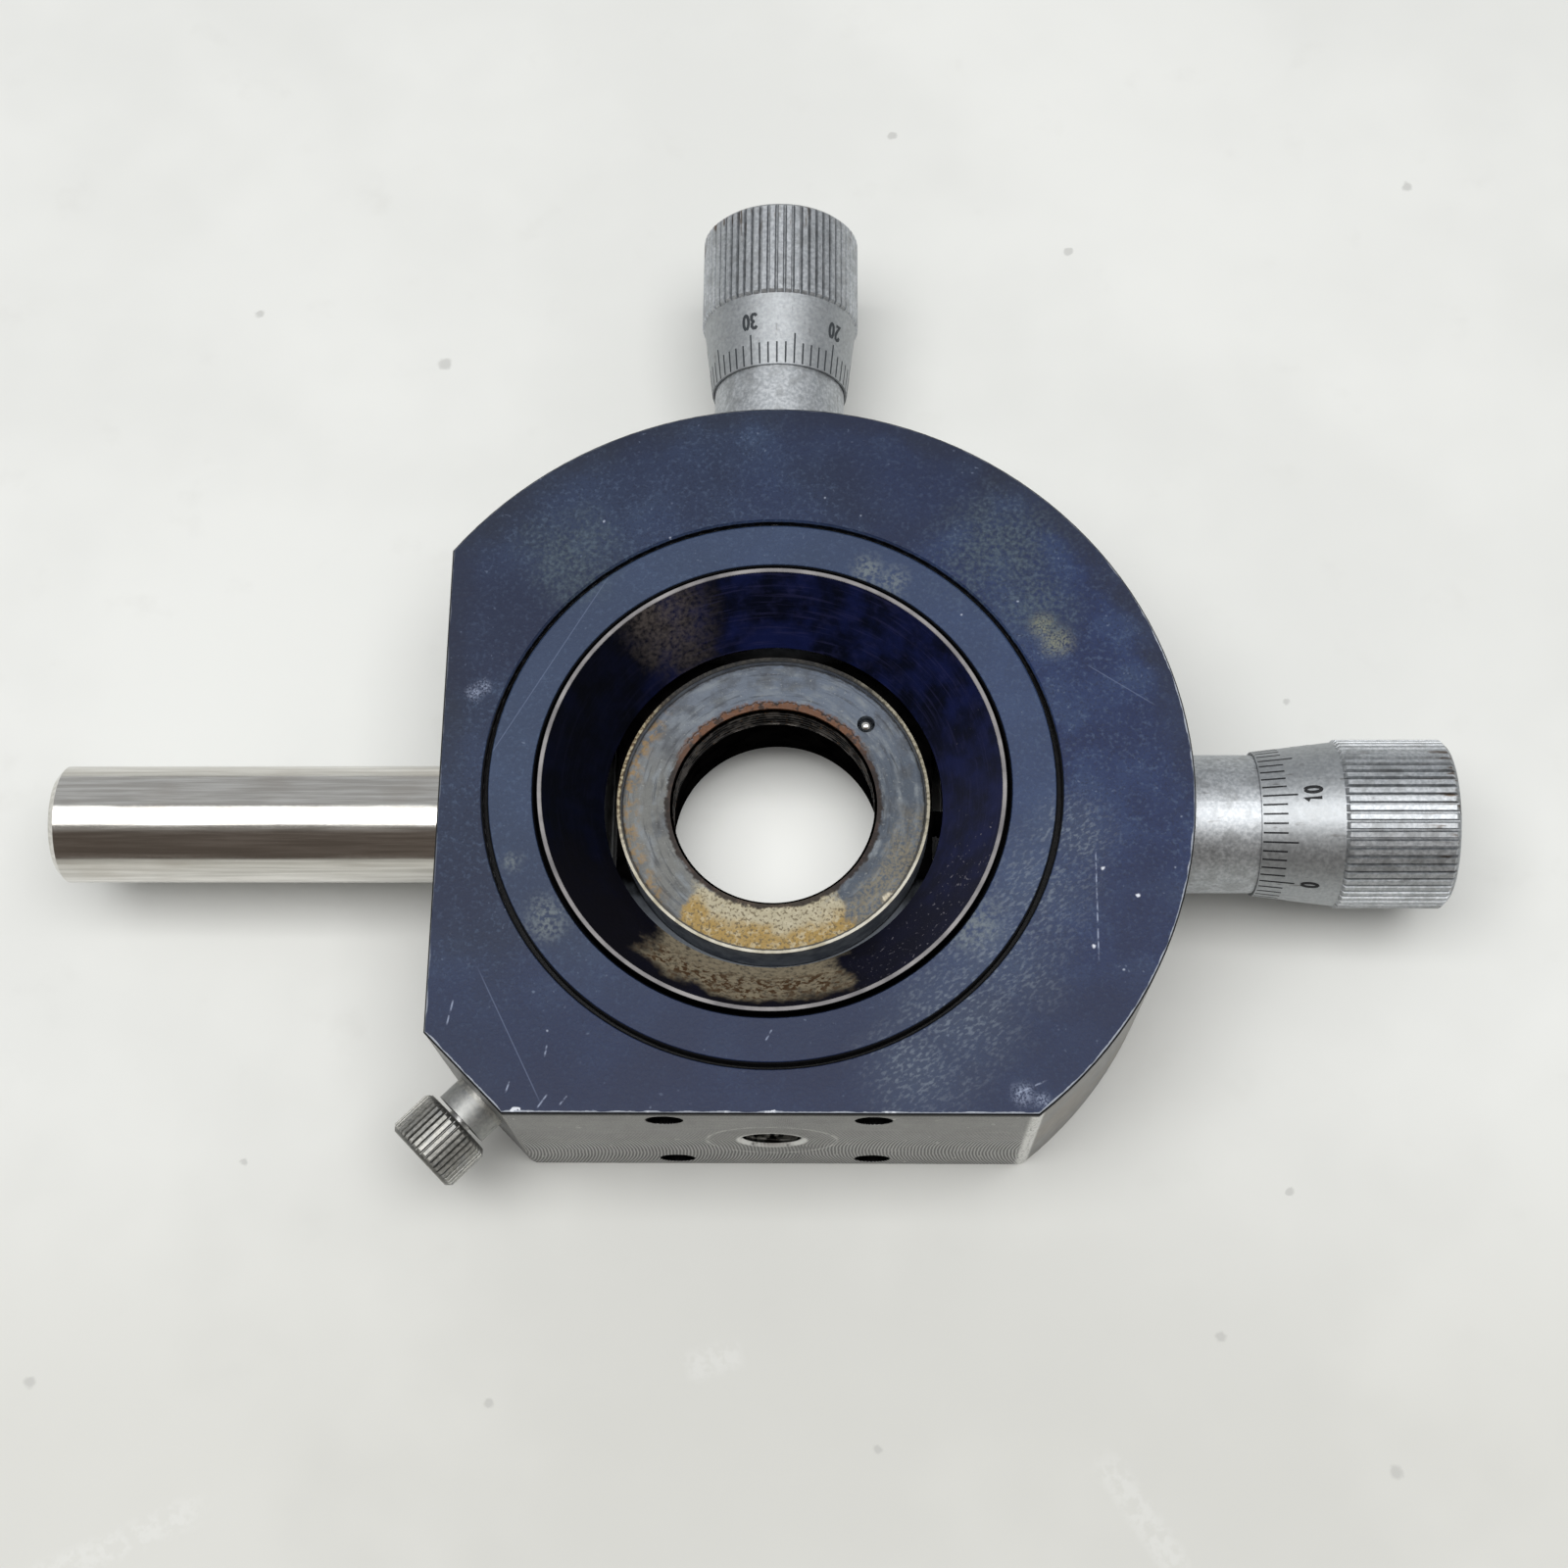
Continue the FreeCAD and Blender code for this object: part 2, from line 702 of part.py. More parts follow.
def make_lock_tongue():
    """Split blade that reaches through the frame into the carrier's corner slot."""
    start = lock_shank_start - lock_tongue_shank
    shank = drive_cylinder(lock_bush_radius, start, lock_shank_start, LOCK_AXIS)
    blade = diagonal_block(lock_blade_width, lock_blade_thickness, lock_blade_tip, start, drive_z)
    bore = drive_cylinder(lock_bore_radius, lock_bore_floor, lock_shank_start, LOCK_AXIS)
    split = diagonal_block(lock_blade_width, lock_split_width, lock_blade_tip, lock_bore_floor, drive_z)
    return shank.fuse(blade).cut(bore).cut(split)


def make_lock_ball():
    return Part.makeSphere(lock_ball_radius, drive_line() + LOCK_AXIS * lock_ball_centre)


def make_lock_screw():
    nose = lock_ball_centre + lock_ball_radius + running_gap
    shoulder = lock_shank_start + travel
    head = lock_face + lock_collar_length + lock_head_gap + lock_head_length / 2
    screw = drive_cylinder(lock_nose_radius, nose, shoulder, LOCK_AXIS)
    return screw.fuse(drive_cylinder(lock_screw_radius, shoulder, head, LOCK_AXIS))


def make_lock_knob():
    start = lock_face + lock_collar_length + lock_head_gap
    end = start + lock_head_length
    core = lock_head_radius - lock_rib_depth
    profile = [
        (0, start),
        (core - edge_break, start),
        (core, start + edge_break),
        (core, end - edge_break),
        (core - edge_break, end),
        (0, end),
    ]
    knob = drive_revolve(profile, LOCK_AXIS)
    grip_start = start + edge_break
    grip_end = end - edge_break
    grip = ribbed_cylinder(lock_head_radius, lock_rib_depth, lock_rib_count, grip_start, grip_end, LOCK_AXIS)
    hole = drive_cylinder(lock_screw_radius, start, start + lock_head_length / 2, LOCK_AXIS)
    return knob.fuse(grip).cut(hole)


def make_drive(axis, name, pad_face, drum_edge):
    export(make_barrel(axis, drum_edge), name + "_barrel")
    export(make_pin_bush(axis), name + "_pin_bush")
    export(make_thrust_pin(axis, pad_face), name + "_thrust_pin")
    export(make_spindle(axis, drum_edge), name + "_spindle")
    export(make_thimble(axis, drum_edge), name + "_thimble")
    export(make_drum_cap(axis, drum_edge), name + "_drum_cap")


def make_guides():
    x_places = [x_guide_place(side) for side in (-1, 1)]
    y_places = [y_guide_place(side) for side in (-1, 1)]
    export(make_x_guides(), "x_guide_rods")
    export(make_y_guides(), "y_guide_rods")
    export(make_guide_plugs(), "guide_rod_plugs")
    export(guide_bushes(X_AXIS, carrier_half_x, -carrier_half_x, x_places), "x_guide_bushes")
    export(guide_bushes(Y_AXIS, frame_half_y, -frame_half_y, y_places), "y_guide_bushes")
    export(make_springs(X_AXIS, frame_inner_half, carrier_half_x, x_places), "x_return_springs")
    export(make_springs(Y_AXIS, pocket_half + spring_cup_depth, frame_half_y, y_places), "y_return_springs")


def main():
    os.makedirs("parts", exist_ok=True)
    export(make_housing(), "housing")
    export(make_top_plate(), "top_plate")
    export(make_cover_ring(), "cover_ring")
    export(make_cone_shield(), "cone_shield")
    export(make_back_plate(), "back_plate")
    export(make_back_screws(), "back_plate_screws")
    export(make_mounting_rod(), "mounting_rod")
    export(make_rod_stud(), "rod_stud")
    export(make_barrel_screws(), "barrel_set_screws")
    export(make_y_frame(), "y_frame")
    export(make_thrust_pad(Y_AXIS, frame_half_y), "y_thrust_pad")
    export(make_carrier(), "carrier")
    export(make_thrust_pad(X_AXIS, carrier_half_x), "x_thrust_pad")
    export(make_optic_sleeve(), "optic_sleeve")
    export(make_insert_ring(), "insert_ring")
    export(make_insert_ball(), "insert_ball")
    export(make_lock_bush(), "lock_bush")
    export(make_lock_tongue(), "lock_tongue")
    export(make_lock_ball(), "lock_ball")
    export(make_lock_screw(), "lock_screw")
    export(make_lock_knob(), "lock_knob")
    make_guides()
    make_drive(X_AXIS, "x", carrier_half_x + pad_stand, x_drum_edge)
    make_drive(Y_AXIS, "y", frame_half_y + pad_stand, y_drum_edge)


main()
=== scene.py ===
import math

import bpy
from mathutils import Matrix, Vector


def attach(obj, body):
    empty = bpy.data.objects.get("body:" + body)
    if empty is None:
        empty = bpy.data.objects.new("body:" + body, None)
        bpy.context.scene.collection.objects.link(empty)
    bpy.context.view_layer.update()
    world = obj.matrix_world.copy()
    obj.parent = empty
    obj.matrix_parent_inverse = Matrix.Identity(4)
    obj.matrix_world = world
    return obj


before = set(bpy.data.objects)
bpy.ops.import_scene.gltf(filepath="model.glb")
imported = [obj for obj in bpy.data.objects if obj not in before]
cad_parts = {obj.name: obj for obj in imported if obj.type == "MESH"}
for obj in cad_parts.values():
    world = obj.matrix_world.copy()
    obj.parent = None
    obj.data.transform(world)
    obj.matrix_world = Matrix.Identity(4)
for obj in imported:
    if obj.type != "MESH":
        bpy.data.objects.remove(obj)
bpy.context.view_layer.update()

MM = 0.001

# The camera, fitted to the photograph's 1600 x 1600 frame
IMAGE_SIZE = 1600
FOCAL_PIXELS = 2391.15
CAMERA_PLACE = (8.55, -89.83, 257.85)
CAMERA_AZIMUTH = -4.541
CAMERA_ELEVATION = 70.222
CAMERA_ROLL = -4.315
SENSOR_WIDTH = 36.0

# Main sizes of the part, in millimetres
BODY_RADIUS = 48.0
FLAT_DISTANCE = 38.0
CORNER_SUM = 67.0
TOP_Z = 7.5
DRIVE_Z = -7.0
FLOOR_Z = -21.5
GROOVE_RADIUS = 32.7
GROOVE_HALF_WIDTH = 0.27
RIM_RADIUS = 26.7
RIM_GAP_RADIUS = 27.5
SLEEVE_RADIUS = 18.2
SLEEVE_TOP = 0.92
INSERT_RADIUS = 17.62
INSERT_FOOT = -4.5
BORE_RADIUS = 12.1
FIXING_ACROSS = 11.5
FIXING_RISE = 11.0
FIXING_RADIUS = 2.1
FIXING_END = -28.0
TAPPED_MOUTH_RADIUS = 3.8
KNOB_START = 50.5
KNOB_RADIUS = 4.8
CARRIER_TOP = -5.8

# Micrometer drums
DIVISIONS = 50
DIVISION_ANGLE = 360.0 / DIVISIONS
DRUM_EDGE_RADIUS = 8.55
DRUM_CONE_RADIUS = 9.7
DRUM_RADIUS = 10.0
DRUM_CONE_LENGTH = 9.4
X_DRUM_EDGE = 56.4
Y_DRUM_EDGE = 57.6
X_ZERO_ANGLE = -68.5
Y_ZERO_ANGLE = 193.7
TICK_WIDTH = 0.21
SHORT_TICK = 2.9
LONG_TICK = 4.1
TICK_START = 0.12
INK_LIFT = 0.012
NUMERAL_HEIGHT = 1.85
NUMERAL_WIDTH = 0.68
NUMERAL_GAP = 0.42
NUMERAL_STROKE = 0.39
NUMERAL_STATION = 5.85

# Threads drawn inside the insert's bore and the front tapped hole
THREAD_STEPS = 96
OPTIC_THREAD_PITCH = 0.75
OPTIC_THREAD_DEPTH = 0.28
OPTIC_THREAD_TOP = -0.35
FRONT_THREAD_PITCH = 1.25
FRONT_THREAD_ROOT = 3.38
FRONT_THREAD_CREST = 2.95
FRONT_THREAD_LENGTH = 8.4
FRONT_THREAD_MOUTH = 0.35

# Floor and light; the lamp's places and sizes are in metres
FLOOR_REACH = 3000.0
FLOOR_CELLS = 24
# Painted light: the floor glows under the bore for camera and glossy rays
BORE_GLOW = 0.28
BORE_GLOW_RADIUS = 19.0
LAMP_PLACE = (-0.05, -0.06, 1.1)
LAMP_TARGET = (-0.05, -0.06, 0.0)
LAMP_SIZE = (1.35, 0.58)
LAMP_POWER = 11.6
LAMP_COLOUR = (1.0, 0.995, 0.985)

NOISE_ROUGHNESS = 0.55


def srgb(red, green, blue):
    """A display colour from 0 to 255 as the linear colour that the shaders take."""
    values = []
    for channel in (red, green, blue):
        share = channel / 255
        values.append(share / 12.92 if share <= 0.04045 else ((share + 0.055) / 1.055) ** 2.4)
    return (*values, 1.0)


class NodeTree:
    """Adds nodes to one tree; a value may be a number, a vector or another node's socket."""

    def __init__(self, tree):
        self.tree = tree

    def node(self, kind):
        return self.tree.nodes.new(kind)

    def put(self, socket, value):
        if isinstance(value, bpy.types.NodeSocket):
            self.tree.links.new(value, socket)
        else:
            socket.default_value = value

    def step(self, value, low, high, weight=1.0):
        """Smooth step from 0 at low to the weight at high; low may be above high."""
        node = self.node("ShaderNodeMapRange")
        node.interpolation_type = "SMOOTHSTEP"
        self.put(node.inputs["Value"], value)
        self.put(node.inputs["From Min"], low)
        self.put(node.inputs["From Max"], high)
        self.put(node.inputs["To Max"], weight)
        return node.outputs[0]

    def mix(self, share, under, over):
        node = self.node("ShaderNodeMix")
        node.data_type = "RGBA"
        self.put(node.inputs["Factor"], share)
        self.put(node.inputs[6], under)
        self.put(node.inputs[7], over)
        return node.outputs[2]


class Paint(NodeTree):
    """Builds one node material. Lengths are millimetres in the part's own frame."""

    def __init__(self, name, metallic=0.0, specular=0.5):
        self.material = bpy.data.materials.new(name)
        self.material.use_nodes = True
        super().__init__(self.material.node_tree)
        self.tree.nodes.clear()
        self.shader = self.node("ShaderNodeBsdfPrincipled")
        self.shader.inputs["Metallic"].default_value = metallic
        self.shader.inputs["Specular IOR Level"].default_value = specular
        output = self.node("ShaderNodeOutputMaterial")
        self.tree.links.new(self.shader.outputs["BSDF"], output.inputs["Surface"])
        coordinates = self.node("ShaderNodeTexCoord").outputs["Object"]
        self.place = self.vector("MULTIPLY", coordinates, (1000, 1000, 1000))
        split = self.node("ShaderNodeSeparateXYZ")
        self.put(split.inputs[0], self.place)
        self.x, self.y, self.z = split.outputs
        self.plan = self.vector("MULTIPLY", self.place, (1, 1, 0))
        self.radius = self.length(self.plan)
        self.angle = self.math("DEGREES", self.math("ARCTAN2", self.y, self.x))

    def math(self, operation, *values):
        node = self.node("ShaderNodeMath")
        node.operation = operation
        for socket, value in zip(node.inputs, values):
            self.put(socket, value)
        return node.outputs[0]

    def vector(self, operation, *values):
        node = self.node("ShaderNodeVectorMath")
        node.operation = operation
        for socket, value in zip(node.inputs, values):
            self.put(socket, value)
        return node.outputs["Vector"]

    def length(self, value):
        node = self.node("ShaderNodeVectorMath")
        node.operation = "LENGTH"
        self.put(node.inputs[0], value)
        return node.outputs["Value"]

    def dot(self, value, direction):
        node = self.node("ShaderNodeVectorMath")
        node.operation = "DOT_PRODUCT"
        self.put(node.inputs[0], value)
        self.put(node.inputs[1], direction)
        return node.outputs["Value"]

    def polar(self):
        """Angle, radius and height as a vector, so that noise can run round the axis."""
        node = self.node("ShaderNodeCombineXYZ")
        self.put(node.inputs[0], self.math("MULTIPLY", self.angle, 0.25))
        self.put(node.inputs[1], self.radius)
        self.put(node.inputs[2], self.z)
        return node.outputs[0]

    def slanted(self, degrees):
        """The place turned about the optical axis, so that noise can be stretched along a slant."""
        turn = math.radians(degrees)
        node = self.node("ShaderNodeCombineXYZ")
        self.put(node.inputs[0], self.dot(self.place, (math.cos(turn), math.sin(turn), 0)))
        self.put(node.inputs[1], self.dot(self.place, (-math.sin(turn), math.cos(turn), 0)))
        self.put(node.inputs[2], self.z)
        return node.outputs[0]

    def noise(self, size, detail=3.0, stretch=(1, 1, 1), seed=0, place=None):
        """Noise around 0.5 with features of about the given size."""
        scale = tuple(share / size for share in stretch)
        offset = (seed * 13.7, seed * 5.3, seed * 9.1)
        node = self.node("ShaderNodeTexNoise")
        self.put(node.inputs["Vector"], self.vector("MULTIPLY_ADD", place or self.place, scale, offset))
        node.inputs["Scale"].default_value = 1.0
        node.inputs["Detail"].default_value = detail
        node.inputs["Roughness"].default_value = NOISE_ROUGHNESS
        return node.outputs[0]

    def both(self, first, *others):
        for other in others:
            first = self.math("MULTIPLY", first, other)
        return first

    def either(self, first, *others):
        for other in others:
            first = self.math("MAXIMUM", first, other)
        return first

    def add(self, first, *others):
        for other in others:
            first = self.math("ADD", first, other)
        return first

    def without(self, share):
        return self.math("SUBTRACT", 1, share)

    def band(self, value, low, high, soft):
        """1 between low and high with soft ends."""
        rise = self.step(value, low - soft, low + soft)
        return self.both(rise, self.step(value, high + soft, high - soft))

    def ragged(self, value, noise, amount):
        """A distance whose lines wander by up to half the amount."""
        return self.math("MULTIPLY_ADD", self.math("SUBTRACT", noise, 0.5), amount, value)

    def spot(self, centre, radius, soft, noise=None, amount=0.0):
        """Round patch on the plan, with a ragged edge where noise is given."""
        away = self.length(self.vector("SUBTRACT", self.plan, (*centre, 0)))
        if noise:
            away = self.ragged(away, noise, amount)
        return self.step(away, radius + soft, radius - soft)

    def patches(self, places, softness, noise, amount):
        """Ragged patches given as (centre, radius)."""
        return self.either(*[self.spot(centre, radius, softness * radius, noise, amount)
                             for centre, radius in places])

    def spots(self, centres, radius, soft, noise=None, amount=0.0):
        return self.either(*[self.spot(centre, radius, soft, noise, amount) for centre in centres])

    def scratch(self, start, end, width):
        """Thin straight line on the plan that fades at its ends."""
        run = Vector(end) - Vector(start)
        along = run.normalized()
        away = self.vector("SUBTRACT", self.plan, (*start, 0))
        across = self.math("ABSOLUTE", self.dot(away, (-along.y, along.x, 0)))
        reach = self.dot(away, (along.x, along.y, 0))
        fade = 0.12 * run.length
        return self.both(self.step(across, width, 0.3 * width), self.band(reach, 0, run.length, fade))

    def scratches(self, lines, width):
        return self.either(*[self.scratch(start, end, width) for start, end in lines])

    def layers(self, base, *coats):
        """Colour built from a base and coats of (mask, colour)."""
        for mask, colour in coats:
            base = self.mix(mask, base, colour)
        return base

    def bump(self, *reliefs):
        """Relief built from (height from 0 to 1, depth in millimetres)."""
        normal = None
        for height, depth in reliefs:
            node = self.node("ShaderNodeBump")
            node.inputs["Distance"].default_value = depth * MM
            self.put(node.inputs["Height"], height)
            if normal:
                self.put(node.inputs["Normal"], normal)
            normal = node.outputs[0]
        self.put(self.shader.inputs["Normal"], normal)

    def finish(self, colour, roughness):
        self.put(self.shader.inputs["Base Color"], colour)
        self.put(self.shader.inputs["Roughness"], roughness)
        return self.material


# Marks on the navy plate, as places in millimetres from the optical axis
PLATE_DUST = [((26.5, 29.3), 5.4), ((30.0, 22.0), 3.8), ((-24.0, 28.5), 4.2)]
PLATE_YELLOW = [((31.3, 19.4), 1.2), ((32.8, 17.4), 1.5)]
RING_DUST = [((11.3, 26.2), 1.6), ((13.6, 25.2), 1.6), ((23.2, -16.8), 2.3), ((-25.0, -15.9), 2.2),
             ((-29.3, -9.3), 1.0)]
HAZE = [((16.3, -33.0), 4.4), ((20.5, -27.0), 5.2), ((25.0, -20.0), 5.6), ((30.0, -12.5), 4.8),
        ((34.0, -5.5), 3.6)]
PALE_SMUDGES = [((-34.4, 11.2), 0.8), ((-33.5, 11.9), 0.7), ((27.6, -35.8), 1.0), ((29.6, -36.4), 0.7)]
WHITE_NICKS = [(37.2, -10.1), (40.9, -13.3), (35.8, -19.1)]
FAINT_NICKS = [(39.0, -21.8), (45.2, -10.0), (46.2, -4.0), (-24.3, -28.8), (-12.3, 30.8), (21.9, 20.8),
               (-20.2, 33.0), (6.0, 36.0), (10.2, 33.6), (28.5, 22.5)]
LONG_SCRATCHES = [((-19.8, 25.1), (-32.4, 3.2)), ((36.5, 14.3), (43.5, 9.7)),
                  ((-32.0, -22.4), (-25.0, -36.3))]
SHORT_SCRATCHES = [((-24.1, -36.0), (-25.0, -37.3)), ((-28.2, -34.5), (-28.6, -35.7)),
                   ((-21.9, -36.1), (-22.6, -37.0)), ((-24.3, -30.5), (-24.5, -31.7)),
                   ((-34.9, -25.5), (-35.4, -28.0)), ((36.4, -8.3), (36.3, -20.1)),
                   ((30.0, -34.3), (27.0, -35.6)), ((0.3, -28.7), (-0.3, -29.8))]


def outline_distance(paint):
    """Distance inwards from the plate's outline."""
    arc = paint.math("SUBTRACT", BODY_RADIUS, paint.radius)
    left = paint.math("ADD", paint.x, FLAT_DISTANCE)
    front = paint.math("ADD", paint.y, FLAT_DISTANCE)
    corner = paint.math("MULTIPLY_ADD", paint.math("ADD", paint.x, paint.y), math.sqrt(0.5),
                        CORNER_SUM * math.sqrt(0.5))
    nearest = arc
    for other in (left, front, corner):
        nearest = paint.math("MINIMUM", nearest, other)
    return nearest


def navy_edge(paint, colour, along, speck):
    """Dark side of the plate, its thin bright worn edge with a painted highlight towards the lower right,
    and the chips along the front.
    """
    inset = outline_distance(paint)
    outward = paint.math("SUBTRACT", paint.math("MULTIPLY", paint.x, 0.6), paint.y)
    # Painted highlight: the worn edge line is wider and brighter towards the lower right
    lit = paint.step(outward, -12, 12)
    front = paint.step(paint.y, 1.6 - FLAT_DISTANCE, 1.1 - FLAT_DISTANCE)
    top_face = paint.step(paint.z, TOP_Z - 0.1, TOP_Z - 0.06)
    width = paint.math("MULTIPLY_ADD", lit, 0.05, paint.step(along, 0.3, 0.7, 0.16))
    line = paint.step(inset, paint.math("ADD", width, 0.2), paint.math("ADD", width, 0.12))
    line = paint.both(line, top_face)
    chip_width = paint.step(along, 0.58, 0.74, 0.7)
    chips = paint.both(paint.step(inset, paint.math("ADD", chip_width, 0.16), chip_width), front, top_face,
                       paint.step(speck, 0.38, 0.52))
    # Painted shade: the plate's dark anodised side is painted near-black
    side = paint.both(paint.step(paint.z, TOP_Z - 0.07, TOP_Z - 0.11), paint.step(inset, 0.6, 0.4))
    return paint.layers(
        colour,
        (side, srgb(3, 4, 6)),
        (paint.both(line, paint.math("MULTIPLY_ADD", lit, 0.6, 0.16)), srgb(178, 184, 194)),
        (paint.both(chips, 0.9), srgb(214, 218, 226)),
    )


def navy_finish():
    """Worn navy anodising with dust, scratches, a bright bare edge, a painted sheen and painted shade in
    the groove.
    """
    paint = Paint("navy_anodised_worn", specular=0.3)
    cloud = paint.noise(14, detail=4, seed=1)
    patch = paint.noise(5, detail=5, seed=2)
    grain = paint.noise(0.5, detail=3, seed=3)
    speck = paint.noise(0.9, detail=2, seed=4)
    fine = paint.noise(0.22, detail=2, seed=5)
    dots = paint.noise(0.6, detail=1, seed=7)
    along = paint.noise(2.2, detail=3, seed=8)
    drift = paint.noise(0.42, detail=4, stretch=(0.6, 1.1, 1), seed=9, place=paint.slanted(35))
    # Painted sheen: greyer towards the upper left, bluer towards the lower right
    grey = paint.mix(paint.step(cloud, 0.36, 0.64), srgb(25, 37, 62), srgb(36, 50, 78))
    blue = paint.mix(paint.step(patch, 0.36, 0.64), srgb(17, 33, 72), srgb(28, 46, 86))
    rightward = paint.ragged(paint.math("MULTIPLY_ADD", paint.y, -0.7, paint.x), cloud, 110)
    colour = paint.mix(paint.step(rightward, -34, 34), grey, blue)
    colour = paint.mix(paint.step(patch, 0.5, 0.75, 0.4), colour, srgb(50, 66, 92))
    colour = paint.mix(paint.step(grain, 0.5, 0.72, 0.34), colour, srgb(84, 102, 128))
    colour = paint.mix(paint.step(fine, 0.5, 0.32, 0.5), colour, srgb(10, 18, 44))
    # Painted sheen, continued: darker and bluer towards the front
    colour = paint.mix(paint.step(paint.y, -14, -30, 0.62), colour, srgb(11, 27, 58))
    far_edge = paint.both(paint.step(paint.ragged(outline_distance(paint), patch, 6), 4.5, 0.5),
                          paint.step(paint.y, -12, 16, 0.6))
    drifting = paint.noise(24, detail=2, seed=6)
    colour = paint.mix(far_edge, colour, srgb(24, 29, 42))
    colour = paint.mix(paint.step(drifting, 0.52, 0.36, 0.45), colour, srgb(16, 26, 56))
    inner = paint.both(paint.step(paint.radius, GROOVE_RADIUS + 0.5, GROOVE_RADIUS),
                       paint.step(paint.y, -40, 10, 0.42))
    colour = paint.mix(inner, colour, srgb(64, 80, 108))
    rare = paint.both(paint.step(dots, 0.7, 0.78), paint.step(patch, 0.45, 0.65, 0.5))
    dusty = paint.patches(PLATE_DUST, 0.9, patch, 9)
    haze = paint.patches(HAZE, 0.95, patch, 8)
    ring_dust = paint.patches(RING_DUST, 0.9, patch, 4)
    smudge = paint.patches(PALE_SMUDGES, 0.9, grain, 1.2)
    yellow = paint.patches(PLATE_YELLOW, 0.9, grain, 2.0)
    colour = paint.layers(
        colour,
        (rare, srgb(108, 120, 142)),
        (paint.both(dusty, paint.step(grain, 0.3, 0.66, 0.46)), srgb(80, 94, 96)),
        (paint.both(haze, 0.22), srgb(84, 98, 116)),
        (paint.both(haze, paint.step(drift, 0.48, 0.66, 0.42)), srgb(124, 134, 146)),
        (paint.both(ring_dust, paint.step(grain, 0.36, 0.62, 0.62)), srgb(116, 124, 124)),
        (paint.both(yellow, paint.step(fine, 0.3, 0.64, 0.6)), srgb(136, 138, 110)),
        (paint.both(smudge, paint.step(fine, 0.35, 0.65, 0.6)), srgb(150, 160, 184)),
        (paint.both(paint.scratches(LONG_SCRATCHES, 0.09), 0.42), srgb(104, 116, 144)),
        (paint.both(paint.scratches(SHORT_SCRATCHES, 0.13), paint.step(speck, 0.36, 0.58, 0.62)),
         srgb(158, 168, 192)),
        (paint.both(paint.spots(FAINT_NICKS, 0.1, 0.1, grain, 0.4), 0.7), srgb(170, 178, 196)),
        (paint.spots(WHITE_NICKS, 0.17, 0.12, grain, 0.6), srgb(214, 218, 228)),
    )
    colour = navy_edge(paint, colour, along, speck)
    # Painted shade: the groove and the gap round the rim are painted near-black; the groove widens towards
    # the front as a painted shadow
    sunk = paint.step(paint.z, TOP_Z - 0.04, TOP_Z - 0.1)
    from_groove = paint.math("SUBTRACT", paint.ragged(paint.radius, speck, 0.14), GROOVE_RADIUS)
    beside = paint.math("ABSOLUTE", from_groove)
    half_width = paint.math("ADD", paint.step(paint.y, 20, -6, 0.24), GROOVE_HALF_WIDTH)
    groove_shade = paint.both(sunk, paint.step(paint.math("SUBTRACT", beside, half_width), 0.05, -0.05))
    rim_gap_shade = paint.both(sunk, paint.step(paint.radius, RIM_GAP_RADIUS + 0.2, RIM_GAP_RADIUS))
    colour = paint.mix(paint.either(groove_shade, rim_gap_shade), colour, srgb(2, 3, 7))
    roughness = paint.math("MULTIPLY_ADD", grain, 0.14, 0.42)
    paint.bump((fine, 0.012), (grain, 0.02))
    return paint.finish(colour, roughness)


